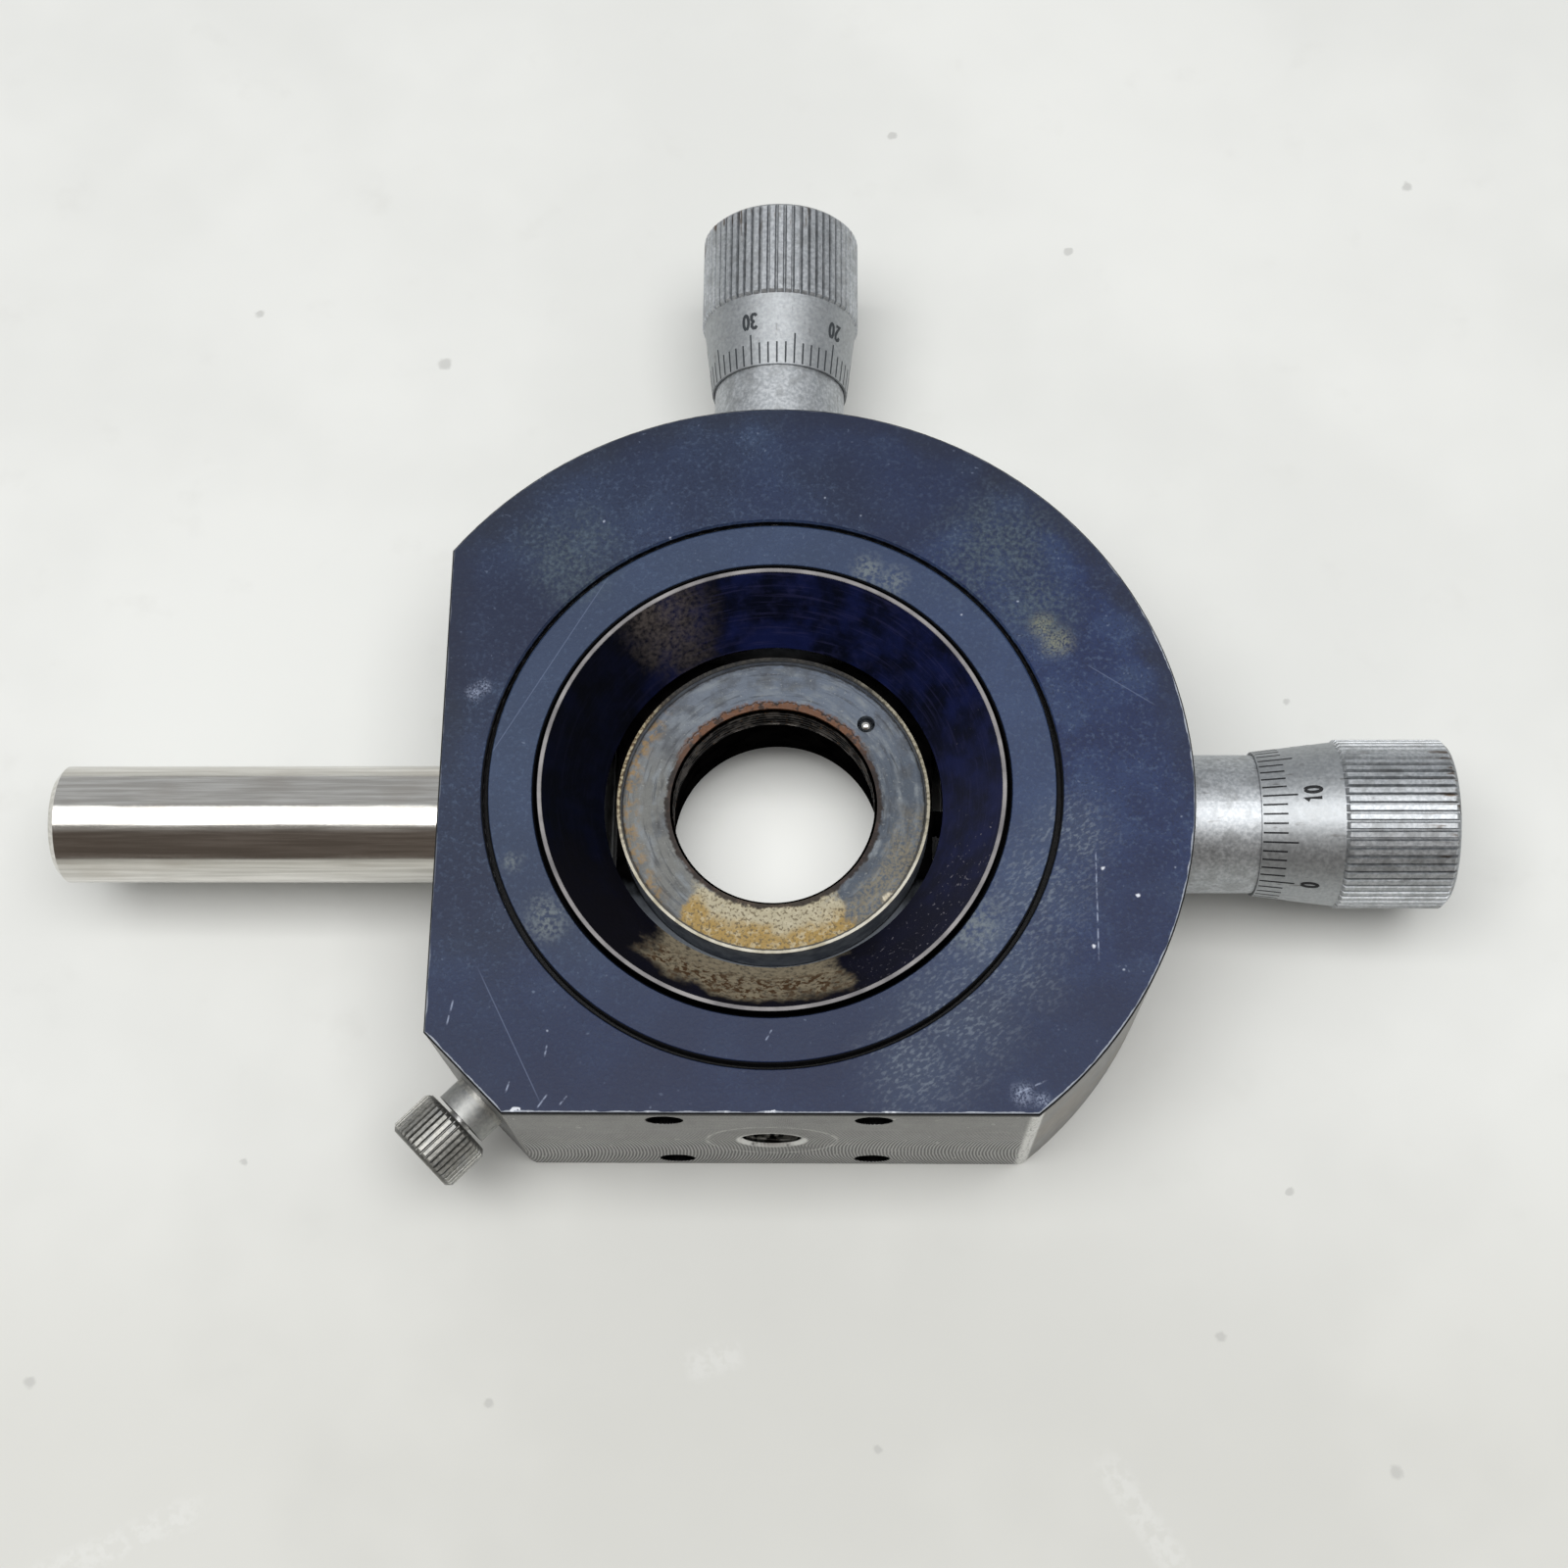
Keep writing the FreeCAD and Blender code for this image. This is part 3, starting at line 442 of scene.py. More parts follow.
def cone_finish():
    """Near-black well with brown deposits and pale specks, painted shade on its left, a painted sheen on
    its right and a painted highlight in its upper-left patch.
    """
    paint = Paint("well_anodised_stained", specular=0.08)
    grain = paint.noise(0.5, detail=4, seed=11)
    cloud = paint.noise(4, detail=5, seed=12)
    speck = paint.noise(0.75, detail=3, seed=13)
    brush = paint.noise(1.0, detail=3, stretch=(1, 0.12, 1), seed=14, place=paint.polar())
    turned = paint.noise(0.35, detail=3, stretch=(0.1, 1.2, 1), seed=15, place=paint.polar())
    colour = paint.mix(paint.step(cloud, 0.35, 0.7), srgb(3, 6, 22), srgb(15, 22, 60))
    colour = paint.mix(paint.step(brush, 0.5, 0.75, 0.35), colour, srgb(34, 36, 70))
    colour = paint.mix(paint.step(turned, 0.52, 0.7, 0.35), colour, srgb(44, 44, 76))
    # Painted shade: near-black towards the left of the well
    colour = paint.mix(paint.step(paint.ragged(paint.x, cloud, 10), -4, -19, 0.85), colour, srgb(0, 1, 5))
    colour = paint.mix(paint.step(paint.ragged(paint.y, cloud, 12), -4, -14, 0.85), colour, srgb(9, 8, 14))
    # Painted sheen: the right of the well is lifted towards blue-grey in the coat below
    right = paint.both(paint.step(paint.x, 6, 24), paint.step(paint.y, 14, -4))
    low_arc = paint.band(paint.ragged(paint.angle, cloud, 26), -127, -70, 4)
    low_reach = paint.step(paint.ragged(paint.radius, cloud, 5.0), 25.4, 23.6)
    # Upper-left patch: partly a painted highlight of the turned wall, partly brown deposit
    upper_arc = paint.spot((-12.6, 21.0), 3.8, 3.6, cloud, 5)
    cut = paint.dot(paint.place, (0.58, 0.82, 0))
    upper_highlight_and_deposit = paint.both(upper_arc, paint.step(paint.ragged(cut, grain, 2.0), 3.0, 4.8))
    bottom = paint.both(low_arc, low_reach)
    blotch = paint.both(bottom, paint.step(speck, 0.47, 0.58), paint.step(paint.radius, 20.6, 22.4))
    low_right = paint.both(paint.band(paint.angle, -62, -18, 12), paint.step(paint.radius, 20.5, 22))
    pale = paint.either(paint.both(paint.step(speck, 0.7, 0.76), right),
                        paint.both(paint.step(grain, 0.62, 0.7), low_right))
    colour = paint.layers(
        colour,
        # painted sheen on the right
        (paint.both(right, 0.35), srgb(52, 54, 72)),
        (paint.both(upper_highlight_and_deposit, paint.step(grain, 0.22, 0.72, 0.56)), srgb(98, 90, 86)),
        (paint.both(bottom, paint.step(grain, 0.15, 0.6, 0.9)), srgb(134, 124, 104)),
        (blotch, srgb(66, 48, 32)),
        (paint.both(pale, 0.8), srgb(112, 110, 118)),
    )
    rim = paint.step(paint.z, TOP_Z + 0.3, TOP_Z + 0.37)
    # Painted shade: the rim's outer wall is painted near-black
    outer_rim_shade = paint.step(paint.radius, RIM_RADIUS - 0.1, RIM_RADIUS - 0.02)
    colour = paint.layers(
        colour,
        (rim, paint.mix(paint.step(cloud, 0.3, 0.7), srgb(112, 110, 112), srgb(152, 149, 149))),
        (outer_rim_shade, srgb(2, 3, 6)),
    )
    roughness = paint.math("MULTIPLY_ADD", grain, 0.2, 0.45)
    paint.bump((grain, 0.02), (brush, 0.02))
    return paint.finish(colour, roughness)


def insert_finish():
    """Grey steel ring with streaks, a cream and ochre stain and rust at the bore."""
    paint = Paint("insert_steel_stained", metallic=0.3, specular=0.35)
    grain = paint.noise(0.4, detail=4, seed=21)
    streak = paint.noise(1.3, detail=4, stretch=(0.5, 1.3, 1), seed=22, place=paint.polar())
    turned = paint.noise(0.45, detail=3, stretch=(0.12, 1.2, 1), seed=25, place=paint.polar())
    cloud = paint.noise(3.2, detail=4, seed=23)
    speck = paint.noise(0.8, detail=3, seed=24)
    left = paint.step(paint.x, 4, -12)
    top = paint.step(paint.y, 2, 13)
    colour = paint.mix(left, srgb(72, 80, 91), srgb(108, 109, 107))
    colour = paint.mix(paint.both(top, 0.8), colour, srgb(100, 109, 123))
    colour = paint.mix(paint.step(streak, 0.45, 0.7, 0.75), colour, srgb(122, 128, 133))
    colour = paint.mix(paint.step(cloud, 0.52, 0.34, 0.6), colour, srgb(66, 68, 72))
    colour = paint.mix(paint.step(turned, 0.5, 0.3, 0.55), colour, srgb(48, 50, 56))
    colour = paint.mix(paint.step(grain, 0.58, 0.75, 0.3), colour, srgb(176, 178, 176))
    arc = paint.band(paint.ragged(paint.angle, cloud, 60), -128, -58, 4)
    outward = paint.step(paint.ragged(paint.radius, cloud, 6), 13.6, 16.0)
    stain = paint.mix(outward, srgb(166, 158, 134), srgb(150, 124, 68))
    stain = paint.mix(paint.step(speck, 0.5, 0.66, 0.5), stain, srgb(186, 178, 154))
    stain = paint.mix(paint.step(grain, 0.5, 0.64, 0.85), stain, srgb(96, 84, 62))
    lower_right = paint.both(paint.band(paint.ragged(paint.angle, cloud, 40), -62, -8, 10),
                             paint.step(paint.ragged(paint.radius, cloud, 5), 13.5, 15.5),
                             paint.step(grain, 0.35, 0.6, 0.7))
    gold_left = paint.both(paint.step(paint.ragged(paint.x, cloud, 8), -12, -15),
                           paint.step(paint.radius, 15.2, 17.0), paint.step(speck, 0.42, 0.6, 0.75))
    rust_arc = paint.band(paint.ragged(paint.angle, cloud, 30), 30, 152, 14)
    near_bore = paint.ragged(paint.radius, speck, 1.1)
    rust = paint.either(
        paint.both(rust_arc, paint.step(near_bore, 13.3, 12.8), paint.step(grain, 0.28, 0.5)),
        paint.step(near_bore, 12.85, 12.5, 0.95),
    )
    brown = paint.mix(rust_arc, srgb(34, 25, 20), srgb(100, 68, 48))
    brown = paint.mix(paint.step(speck, 0.5, 0.62), brown, srgb(52, 38, 30))
    dark_line = paint.both(rust_arc, paint.band(near_bore, 12.8, 12.92, 0.06))
    chip = paint.spot((13.5, -11.5), 0.75, 0.3, grain, 1.6)
    colour = paint.layers(
        colour,
        (lower_right, srgb(124, 116, 96)),
        (gold_left, srgb(138, 112, 72)),
        (paint.both(arc, paint.step(grain, 0.1, 0.42, 0.95)), stain),
        (chip, srgb(198, 188, 166)),
        (rust, brown),
        (dark_line, srgb(40, 30, 26)),
    )
    edge = paint.step(paint.ragged(paint.radius, speck, 0.5), INSERT_RADIUS - 0.22, INSERT_RADIUS)
    colour = paint.mix(paint.both(edge, 0.8), colour, srgb(34, 32, 30))
    roughness = paint.math("MULTIPLY_ADD", grain, 0.3, 0.4)
    paint.bump((grain, 0.035), (streak, 0.03), (turned, 0.015))
    return paint.finish(colour, roughness)


def sleeve_finish():
    """Thin sleeve: blue-grey wall lifted with painted light, and a rim worn gold, cream and brown,
    near-black at the far side as painted shade.
    """
    paint = Paint("sleeve_worn_rim", specular=0.3)
    grain = paint.noise(0.45, detail=4, seed=31)
    cloud = paint.noise(2.2, detail=4, seed=32)
    # Painted light: the wall is painted a pale blue-grey so that it reads lit inside the gap
    painted_lit_wall = paint.mix(paint.step(cloud, 0.35, 0.65), srgb(96, 102, 114), srgb(138, 144, 152))
    lower = paint.step(paint.ragged(paint.y, cloud, 8), 0, -9)
    left = paint.both(paint.step(paint.ragged(paint.x, cloud, 8), -9, -14), paint.step(paint.y, 14, 9))
    right = paint.step(paint.ragged(paint.x, cloud, 8), 8, 15)
    # Painted shade: the rim's near-black base tone stays at the far side, where the worn colours below
    # don't reach
    rim = paint.mix(paint.step(grain, 0.4, 0.6), srgb(14, 14, 15), srgb(48, 45, 40))
    rim = paint.layers(
        rim,
        (right, paint.mix(paint.step(grain, 0.35, 0.6), srgb(104, 98, 80), srgb(160, 154, 136))),
        (left, paint.mix(paint.step(grain, 0.4, 0.65), srgb(84, 66, 40), srgb(170, 160, 132))),
        (lower, paint.mix(paint.step(cloud, 0.3, 0.6), srgb(170, 163, 142), srgb(204, 200, 186))),
    )
    inner_line = paint.step(paint.ragged(paint.radius, grain, 0.16), SLEEVE_RADIUS - 0.3,
                            SLEEVE_RADIUS - 0.36)
    rim = paint.mix(paint.both(inner_line, 0.9), rim, srgb(20, 19, 18))
    colour = paint.mix(paint.step(paint.z, SLEEVE_TOP - 0.12, SLEEVE_TOP), painted_lit_wall, rim)
    paint.bump((grain, 0.03))
    return paint.finish(colour, paint.math("MULTIPLY_ADD", grain, 0.25, 0.4))


def thread_finish(name, dark, bright, rust, metallic):
    """Screw thread in a dark tone with bright cloudy patches and a little rust."""
    paint = Paint(name, metallic=metallic, specular=0.5)
    grain = paint.noise(0.5, detail=4, seed=41)
    cloud = paint.noise(1.8, detail=3, seed=42)
    colour = paint.layers(
        dark,
        (paint.step(cloud, 0.45, 0.62), bright),
        (paint.step(grain, 0.58, 0.72, 0.8), rust),
    )
    paint.bump((grain, 0.03))
    return paint.finish(colour, paint.math("MULTIPLY_ADD", grain, 0.3, 0.3))


# Face milling on the flats, and the ring that a washer left round the tapped hole
MILL_PITCH = 0.4
MILL_RADIUS = 23.0
MILL_AXIS_Z = DRIVE_Z - 6
WITNESS_RADIUS = 7.4


def arc_phase(paint, side, across, lift):
    """Feed marks of a face mill whose arcs bulge towards the given side."""
    fall = paint.math("MULTIPLY", lift, lift)
    reach = paint.math("SQRT", paint.math("SUBTRACT", MILL_RADIUS ** 2, fall))
    line = paint.math("MULTIPLY_ADD", reach, -side, across)
    wander = paint.noise(3, detail=2, seed=50 + side)
    turns = paint.math("MULTIPLY_ADD", wander, 0.9, paint.math("DIVIDE", line, MILL_PITCH))
    wave = paint.math("SINE", paint.math("MULTIPLY", turns, 2 * math.pi))
    return paint.math("MULTIPLY_ADD", wave, 0.5, 0.5)


def hole_shade(paint, mirrored, depth_axis):
    """Inside of the four plain fixing holes of a flat."""
    centred = paint.vector("SUBTRACT", paint.place, (0, 0, DRIVE_Z))
    folded = paint.vector("ABSOLUTE", centred)
    middle = (0, FIXING_ACROSS, FIXING_RISE) if mirrored else (FIXING_ACROSS, 0, FIXING_RISE)
    flatten = (0, 1, 1) if mirrored else (1, 0, 1)
    away = paint.length(paint.vector("MULTIPLY", paint.vector("SUBTRACT", folded, middle), flatten))
    inside = paint.step(away, FIXING_RADIUS + 0.1, FIXING_RADIUS + 0.02)
    return paint.both(inside, paint.step(depth_axis, -FLAT_DISTANCE + 0.02, -FLAT_DISTANCE + 0.08),
                      paint.step(depth_axis, FIXING_END, FIXING_END - 2))


def milled_aluminium():
    """Bare aluminium: milled arcs on the flats, fine turning lines round the body, scuffs."""
    paint = Paint("milled_aluminium", metallic=0.85, specular=0.5)
    grain = paint.noise(0.35, detail=3, seed=51)
    cloud = paint.noise(7, detail=4, seed=52)
    brush = paint.noise(0.5, detail=4, stretch=(0.05, 0.05, 1.6), seed=53)
    scuff = paint.noise(1.3, detail=4, stretch=(1, 1, 0.6), seed=54)
    lift = paint.math("SUBTRACT", paint.z, MILL_AXIS_Z)
    front = paint.step(paint.y, 0.6 - FLAT_DISTANCE, 0.2 - FLAT_DISTANCE)
    left = paint.step(paint.x, 0.6 - FLAT_DISTANCE, 0.2 - FLAT_DISTANCE)
    across = paint.add(paint.both(paint.x, paint.without(left)), paint.both(paint.y, left))
    half = paint.step(paint.ragged(paint.x, cloud, 16), -2, 6)
    left_arcs = paint.both(arc_phase(paint, 1, across, lift), paint.without(half))
    right_arcs = paint.both(arc_phase(paint, -1, across, lift), half)
    arcs = paint.add(left_arcs, right_arcs)
    flat = paint.either(front, left)
    from_drive = paint.vector("SUBTRACT", paint.place, (0, 0, DRIVE_Z))
    away = paint.length(paint.vector("MULTIPLY", from_drive, (1, 0, 1)))
    witness = paint.both(front, paint.band(away, WITNESS_RADIUS - 0.15, WITNESS_RADIUS + 0.15, 0.2))
    washer = paint.both(front, paint.step(away, WITNESS_RADIUS, WITNESS_RADIUS - 1))
    mouth = paint.both(front, paint.step(away, TAPPED_MOUTH_RADIUS + 0.5, TAPPED_MOUTH_RADIUS),
                       paint.step(scuff, 0.3, 0.5))
    colour = paint.mix(paint.step(cloud, 0.35, 0.65), srgb(104, 104, 104), srgb(121, 121, 121))
    colour = paint.mix(paint.both(flat, paint.step(arcs, 0.55, 0.9, 0.62)), colour, srgb(206, 206, 204))
    colour = paint.mix(paint.both(flat, paint.step(arcs, 0.4, 0.1, 0.62)), colour, srgb(50, 50, 48))
    colour = paint.mix(paint.step(brush, 0.5, 0.72, 0.3), colour, srgb(176, 174, 170))
    round_side = paint.step(paint.radius, BODY_RADIUS - 0.4, BODY_RADIUS - 0.1)
    side_tone = paint.both(round_side, 0.8)
    side_tint = paint.both(round_side, paint.step(cloud, 0.4, 0.62, 0.4))
    marks = paint.both(paint.step(scuff, 0.62, 0.7, 0.8), paint.step(cloud, 0.42, 0.6),
                       paint.without(side_tone))
    upright = paint.spot((29.3, -FLAT_DISTANCE), 0.8, 0.3, grain, 0.8)
    hollow = paint.either(hole_shade(paint, False, paint.y), hole_shade(paint, True, paint.x))
    colour = paint.layers(
        colour,
        (side_tone, srgb(132, 131, 130)),
        (side_tint, srgb(140, 128, 112)),
        (paint.both(washer, 0.3), srgb(112, 111, 108)),
        (paint.both(witness, paint.step(scuff, 0.35, 0.6, 0.8)), srgb(206, 205, 202)),
        (mouth, srgb(226, 226, 224)),
        (marks, srgb(192, 191, 189)),
        (paint.both(upright, paint.step(grain, 0.3, 0.5)), srgb(226, 226, 224)),
        (hollow, srgb(3, 3, 3)),
    )
    roughness = paint.math("MULTIPLY_ADD", scuff, 0.2, 0.32)
    paint.bump((paint.both(flat, arcs), 0.035), (brush, 0.01), (grain, 0.008))
    return paint.finish(colour, roughness)


DRUM_TONES = (srgb(166, 170, 174), srgb(200, 203, 206))
KNOB_TONES = (srgb(138, 138, 134), srgb(178, 177, 172))
BUSH_TONES = (srgb(150, 150, 146), srgb(190, 189, 184))


def satin_chrome(name, along, edge, rib_top, seed, tones=DRUM_TONES, root_shade_weight=0.3):
    """Satin chrome with a fine mottle, a duller cone, painted shade in the rib roots and grime in the
    grip's far end.
    """
    paint = Paint(name, metallic=1.0)
    mottle = paint.noise(0.42, detail=4, seed=seed)
    cloud = paint.noise(1.9, detail=4, seed=seed + 1)
    stretch = tuple(0.22 if share else 1.4 for share in along)
    streak = paint.noise(1.0, detail=3, stretch=stretch, seed=seed + 2)
    reach = paint.dot(paint.place, along)
    grip = edge + DRUM_CONE_LENGTH
    cone = paint.band(reach, edge, grip, 0.1)
    colour = paint.mix(paint.step(mottle, 0.3, 0.7), *tones)
    colour = paint.mix(paint.step(cloud, 0.52, 0.34, 0.5), colour, srgb(142, 144, 145))
    colour = paint.mix(paint.both(cone, paint.step(cloud, 0.2, 0.7, 0.7)), colour, srgb(150, 153, 155))
    grime = paint.both(paint.step(reach, grip + 8, grip + 12), paint.step(streak, 0.56, 0.66, 0.8))
    smut = paint.both(paint.step(streak, 0.6, 0.7, 0.5), paint.step(cloud, 0.45, 0.6))
    from_drive = paint.length(paint.vector("SUBTRACT", paint.place, (0, 0, DRIVE_Z)))
    squares = paint.math("SUBTRACT", paint.both(from_drive, from_drive), paint.both(reach, reach))
    off_axis = paint.math("SQRT", squares)
    # Painted shade: the roots between the grip's ribs are darkened
    root = paint.both(paint.band(off_axis, rib_top - 0.5, rib_top - 0.2, 0.06),
                      paint.step(reach, grip, grip + 0.3, root_shade_weight))
    colour = paint.layers(
        colour,
        (root, srgb(78, 78, 78)),
        (grime, srgb(96, 78, 60)),
        (smut, srgb(96, 92, 88)),
    )
    roughness = paint.math("MULTIPLY_ADD", mottle, 0.2, 0.41)
    paint.bump((mottle, 0.012), (cloud, 0.02))
    return paint.finish(colour, roughness)


def ground_steel():
    """Polished ground bar with faint streaks and rings."""
    paint = Paint("ground_steel", metallic=1.0)
    streak = paint.noise(0.6, detail=4, stretch=(0.05, 1.2, 1.2), seed=61)
    rings = paint.noise(0.5, detail=3, stretch=(1.6, 0.1, 0.1), seed=62)
    cloud = paint.noise(6, detail=3, stretch=(0.5, 1, 1), seed=63)
    colour = paint.mix(paint.step(streak, 0.35, 0.7), srgb(196, 193, 187), srgb(226, 224, 219))
    colour = paint.mix(paint.step(cloud, 0.5, 0.7, 0.3), colour, srgb(180, 172, 162))
    roughness = paint.add(paint.math("MULTIPLY", streak, 0.14), paint.math("MULTIPLY", rings, 0.08), 0.03)
    paint.bump((streak, 0.004), (rings, 0.003))
    return paint.finish(colour, roughness)


def plain_metal(name, low, high, rough, seed):
    """Turned inner metal: two tones, fine machining lines and scattered marks."""
    paint = Paint(name, metallic=1.0)
    lines = paint.noise(0.5, detail=3, stretch=(0.3, 0.3, 1.5), seed=seed)
    cloud = paint.noise(3, detail=4, seed=seed + 1)
    marks = paint.noise(0.8, detail=3, seed=seed + 2)
    colour = paint.mix(paint.step(cloud, 0.35, 0.65), low, high)
    colour = paint.mix(paint.step(marks, 0.6, 0.75, 0.35), colour, low)
    paint.bump((lines, 0.01))
    return paint.finish(colour, paint.math("MULTIPLY_ADD", lines, 0.2, rough))


def blackened_finish():
    """Dull black oxide, a little brown where it is dusty, and painted light in blue-grey on its top round
    the sleeve towards the front.
    """
    paint = Paint("black_oxide", specular=0.0)
    cloud = paint.noise(2.5, detail=4, seed=161)
    dust = paint.noise(0.6, detail=3, seed=162)
    lines = paint.noise(0.5, detail=3, stretch=(0.2, 0.2, 1.5), seed=163)
    colour = paint.mix(paint.step(cloud, 0.35, 0.65), srgb(5, 5, 6), srgb(16, 15, 15))
    colour = paint.mix(paint.step(dust, 0.64, 0.78, 0.5), colour, srgb(44, 38, 32))
    # Painted light: blue-grey on the carrier's top round the sleeve, towards the front
    round_sleeve = paint.both(paint.band(paint.radius, SLEEVE_RADIUS + 0.1, 21, 0.1),
                              paint.step(paint.z, CARRIER_TOP - 0.4, CARRIER_TOP))
    painted_gap_light = paint.both(round_sleeve, paint.step(paint.ragged(paint.y, cloud, 6), -8, -13))
    colour = paint.mix(painted_gap_light, colour, srgb(128, 134, 142))
    paint.bump((lines, 0.02))
    return paint.finish(colour, paint.math("MULTIPLY_ADD", lines, 0.2, 0.7))


def ink_finish(name, tone):
    """Filling of the dial's engraving, thin in places."""
    paint = Paint(name, specular=0.3)
    wear = paint.noise(0.5, detail=3, seed=71)
    colour = paint.mix(paint.step(wear, 0.6, 0.75, 0.35), tone, srgb(112, 114, 116))
    paint.bump((wear, 0.01))
    return paint.finish(colour, paint.math("MULTIPLY_ADD", wear, 0.2, 0.45))


# Marks on the floor, as places in millimetres from the optical axis
FLOOR_SPECKS = [((-72.0, 79.0), 0.6), ((-46.0, 71.0), 0.8), ((-6.8, 47.5), 0.6), ((15.0, 107.0), 0.6),
                ((39.0, 88.0), 0.5), ((86.0, 98.0), 0.6), ((64.5, 21.5), 0.4), ((-87.0, -64.0), 0.7),
                ((52.0, -58.0), 0.6), ((61.0, -41.0), 0.4), ((12.0, -71.0), 0.5), ((-33.0, -66.0), 0.5),
                ((71.0, -73.0), 0.7), ((-64.0, -38.0), 0.4)]
FLOOR_STREAKS = [((-84.0, -86.0), (-66.0, -78.0)), ((38.0, -72.0), (46.0, -84.0)),
                 ((-10.0, -62.0), (-4.0, -60.0))]


def floor_finish():
    """Pale laminate with faint clouds, specks and rub marks, painted darker towards the front as painted
    shade and glowing white under the bore as painted light.
    """
    paint = Paint("pale_laminate", specular=0.25)
    cloud = paint.noise(60, detail=4, seed=81)
    haze = paint.noise(9, detail=4, seed=82)
    grain = paint.noise(1.2, detail=3, seed=83)
    # Painted shade: the floor is painted darker towards the front
    far = paint.mix(paint.step(cloud, 0.35, 0.65), srgb(219, 220, 217), srgb(226, 227, 224))
    near = paint.mix(paint.step(cloud, 0.4, 0.6), srgb(203, 203, 198), srgb(209, 209, 204))
    colour = paint.mix(paint.step(paint.y, -15, -75), far, near)
    colour = paint.mix(paint.step(haze, 0.6, 0.8, 0.25), colour, srgb(206, 206, 202))
    specks = paint.patches(FLOOR_SPECKS, 0.4, grain, 1.2)
    rubs = paint.both(paint.scratches(FLOOR_STREAKS, 2.4), paint.step(grain, 0.4, 0.6, 0.5))
    colour = paint.layers(
        colour,
        (paint.both(specks, 0.5), srgb(170, 170, 167)),
        (paint.both(rubs, 0.3), srgb(240, 241, 240)),
    )
    paint.bump((haze, 0.02))
    rays = paint.node("ShaderNodeLightPath").outputs
    seen = paint.either(rays["Is Camera Ray"], rays["Is Glossy Ray"], rays["Is Transmission Ray"])
    # Painted light: glow under the bore, seen only by camera, glossy and transmission rays
    bore_glow_mask = paint.step(paint.radius, BORE_GLOW_RADIUS, BORE_GLOW_RADIUS - 12)
    paint.shader.inputs["Emission Color"].default_value = srgb(250, 251, 248)
    paint.put(paint.shader.inputs["Emission Strength"], paint.both(seen, bore_glow_mask, BORE_GLOW))
    return paint.finish(colour, paint.math("MULTIPLY_ADD", haze, 0.15, 0.42))


def dress(names, material):
    """Give a finish to carried-over nodes."""
    for name in names:
        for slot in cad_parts[name].material_slots:
            slot.material = material


def dress_drives():
    """Chrome drums and sleeves, and the lock's knob and collar on the corner's axis."""
    drives = (("x", (1, 0, 0), X_DRUM_EDGE, 91), ("y", (0, 1, 0), Y_DRUM_EDGE, 101))
    for axis, along, edge, seed in drives:
        chrome = satin_chrome(axis + "_drive_chrome", along, edge, DRUM_RADIUS, seed)
        dress([axis + "_barrel", axis + "_thimble", axis + "_drum_cap"], chrome)
    corner = math.sqrt(0.5)
    outward = (-corner, -corner, 0)
    knob_edge = KNOB_START - DRUM_CONE_LENGTH
    dress(["lock_knob"], satin_chrome("knob_nickel", outward, knob_edge, KNOB_RADIUS, 111, KNOB_TONES, 0.6))
    dress(["lock_bush"], satin_chrome("bush_nickel", outward, BODY_RADIUS, 0.0, 171, BUSH_TONES))


def dress_nodes():
    """A finish for every carried-over node."""
    dress(["top_plate", "cover_ring"], navy_finish())
    dress(["cone_shield"], cone_finish())
    dress(["insert_ring"], insert_finish())
    dress(["optic_sleeve"], sleeve_finish())
    dress(["housing", "back_plate"], milled_aluminium())
    dress(["mounting_rod", "insert_ball"], ground_steel())
    dress_drives()
    dress(["x_spindle", "y_spindle", "y_thrust_pin", "y_thrust_pad", "x_guide_rods", "y_guide_rods",
           "x_return_springs", "y_return_springs", "lock_ball", "lock_screw"],
          plain_metal("turned_steel", srgb(150, 150, 150), srgb(205, 205, 203), 0.22, 121))
    dress(["x_pin_bush", "y_pin_bush", "x_guide_bushes", "y_guide_bushes", "lock_tongue"],
          plain_metal("turned_bronze", srgb(142, 106, 58), srgb(190, 150, 88), 0.28, 131))
    dress(["back_plate_screws", "rod_stud", "barrel_set_screws", "guide_rod_plugs"],
          plain_metal("blackened_steel", srgb(38, 38, 40), srgb(78, 78, 80), 0.35, 141))
    dress(["carrier", "x_thrust_pad", "x_thrust_pin"], blackened_finish())
    dress(["y_frame"],
          plain_metal("machined_aluminium", srgb(150, 152, 154), srgb(194, 196, 198), 0.32, 151))


def mesh_object(name, vertices, faces, material):
    """Flat-shaded mesh object from points in millimetres."""
    mesh = bpy.data.meshes.new(name)
    mesh.from_pydata([tuple(value * MM for value in vertex) for vertex in vertices], [], faces)
    mesh.validate()
    mesh.update()
    for polygon in mesh.polygons:
        polygon.use_smooth = False
    mesh.materials.append(material)
    made = bpy.data.objects.new(name, mesh)
    bpy.context.scene.collection.objects.link(made)
    return made


def new_piece(name, vertices, faces, material, body, slot):
    """Mesh piece that rides on a body."""
    piece = mesh_object(name, vertices, faces, material)
    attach(piece, body)


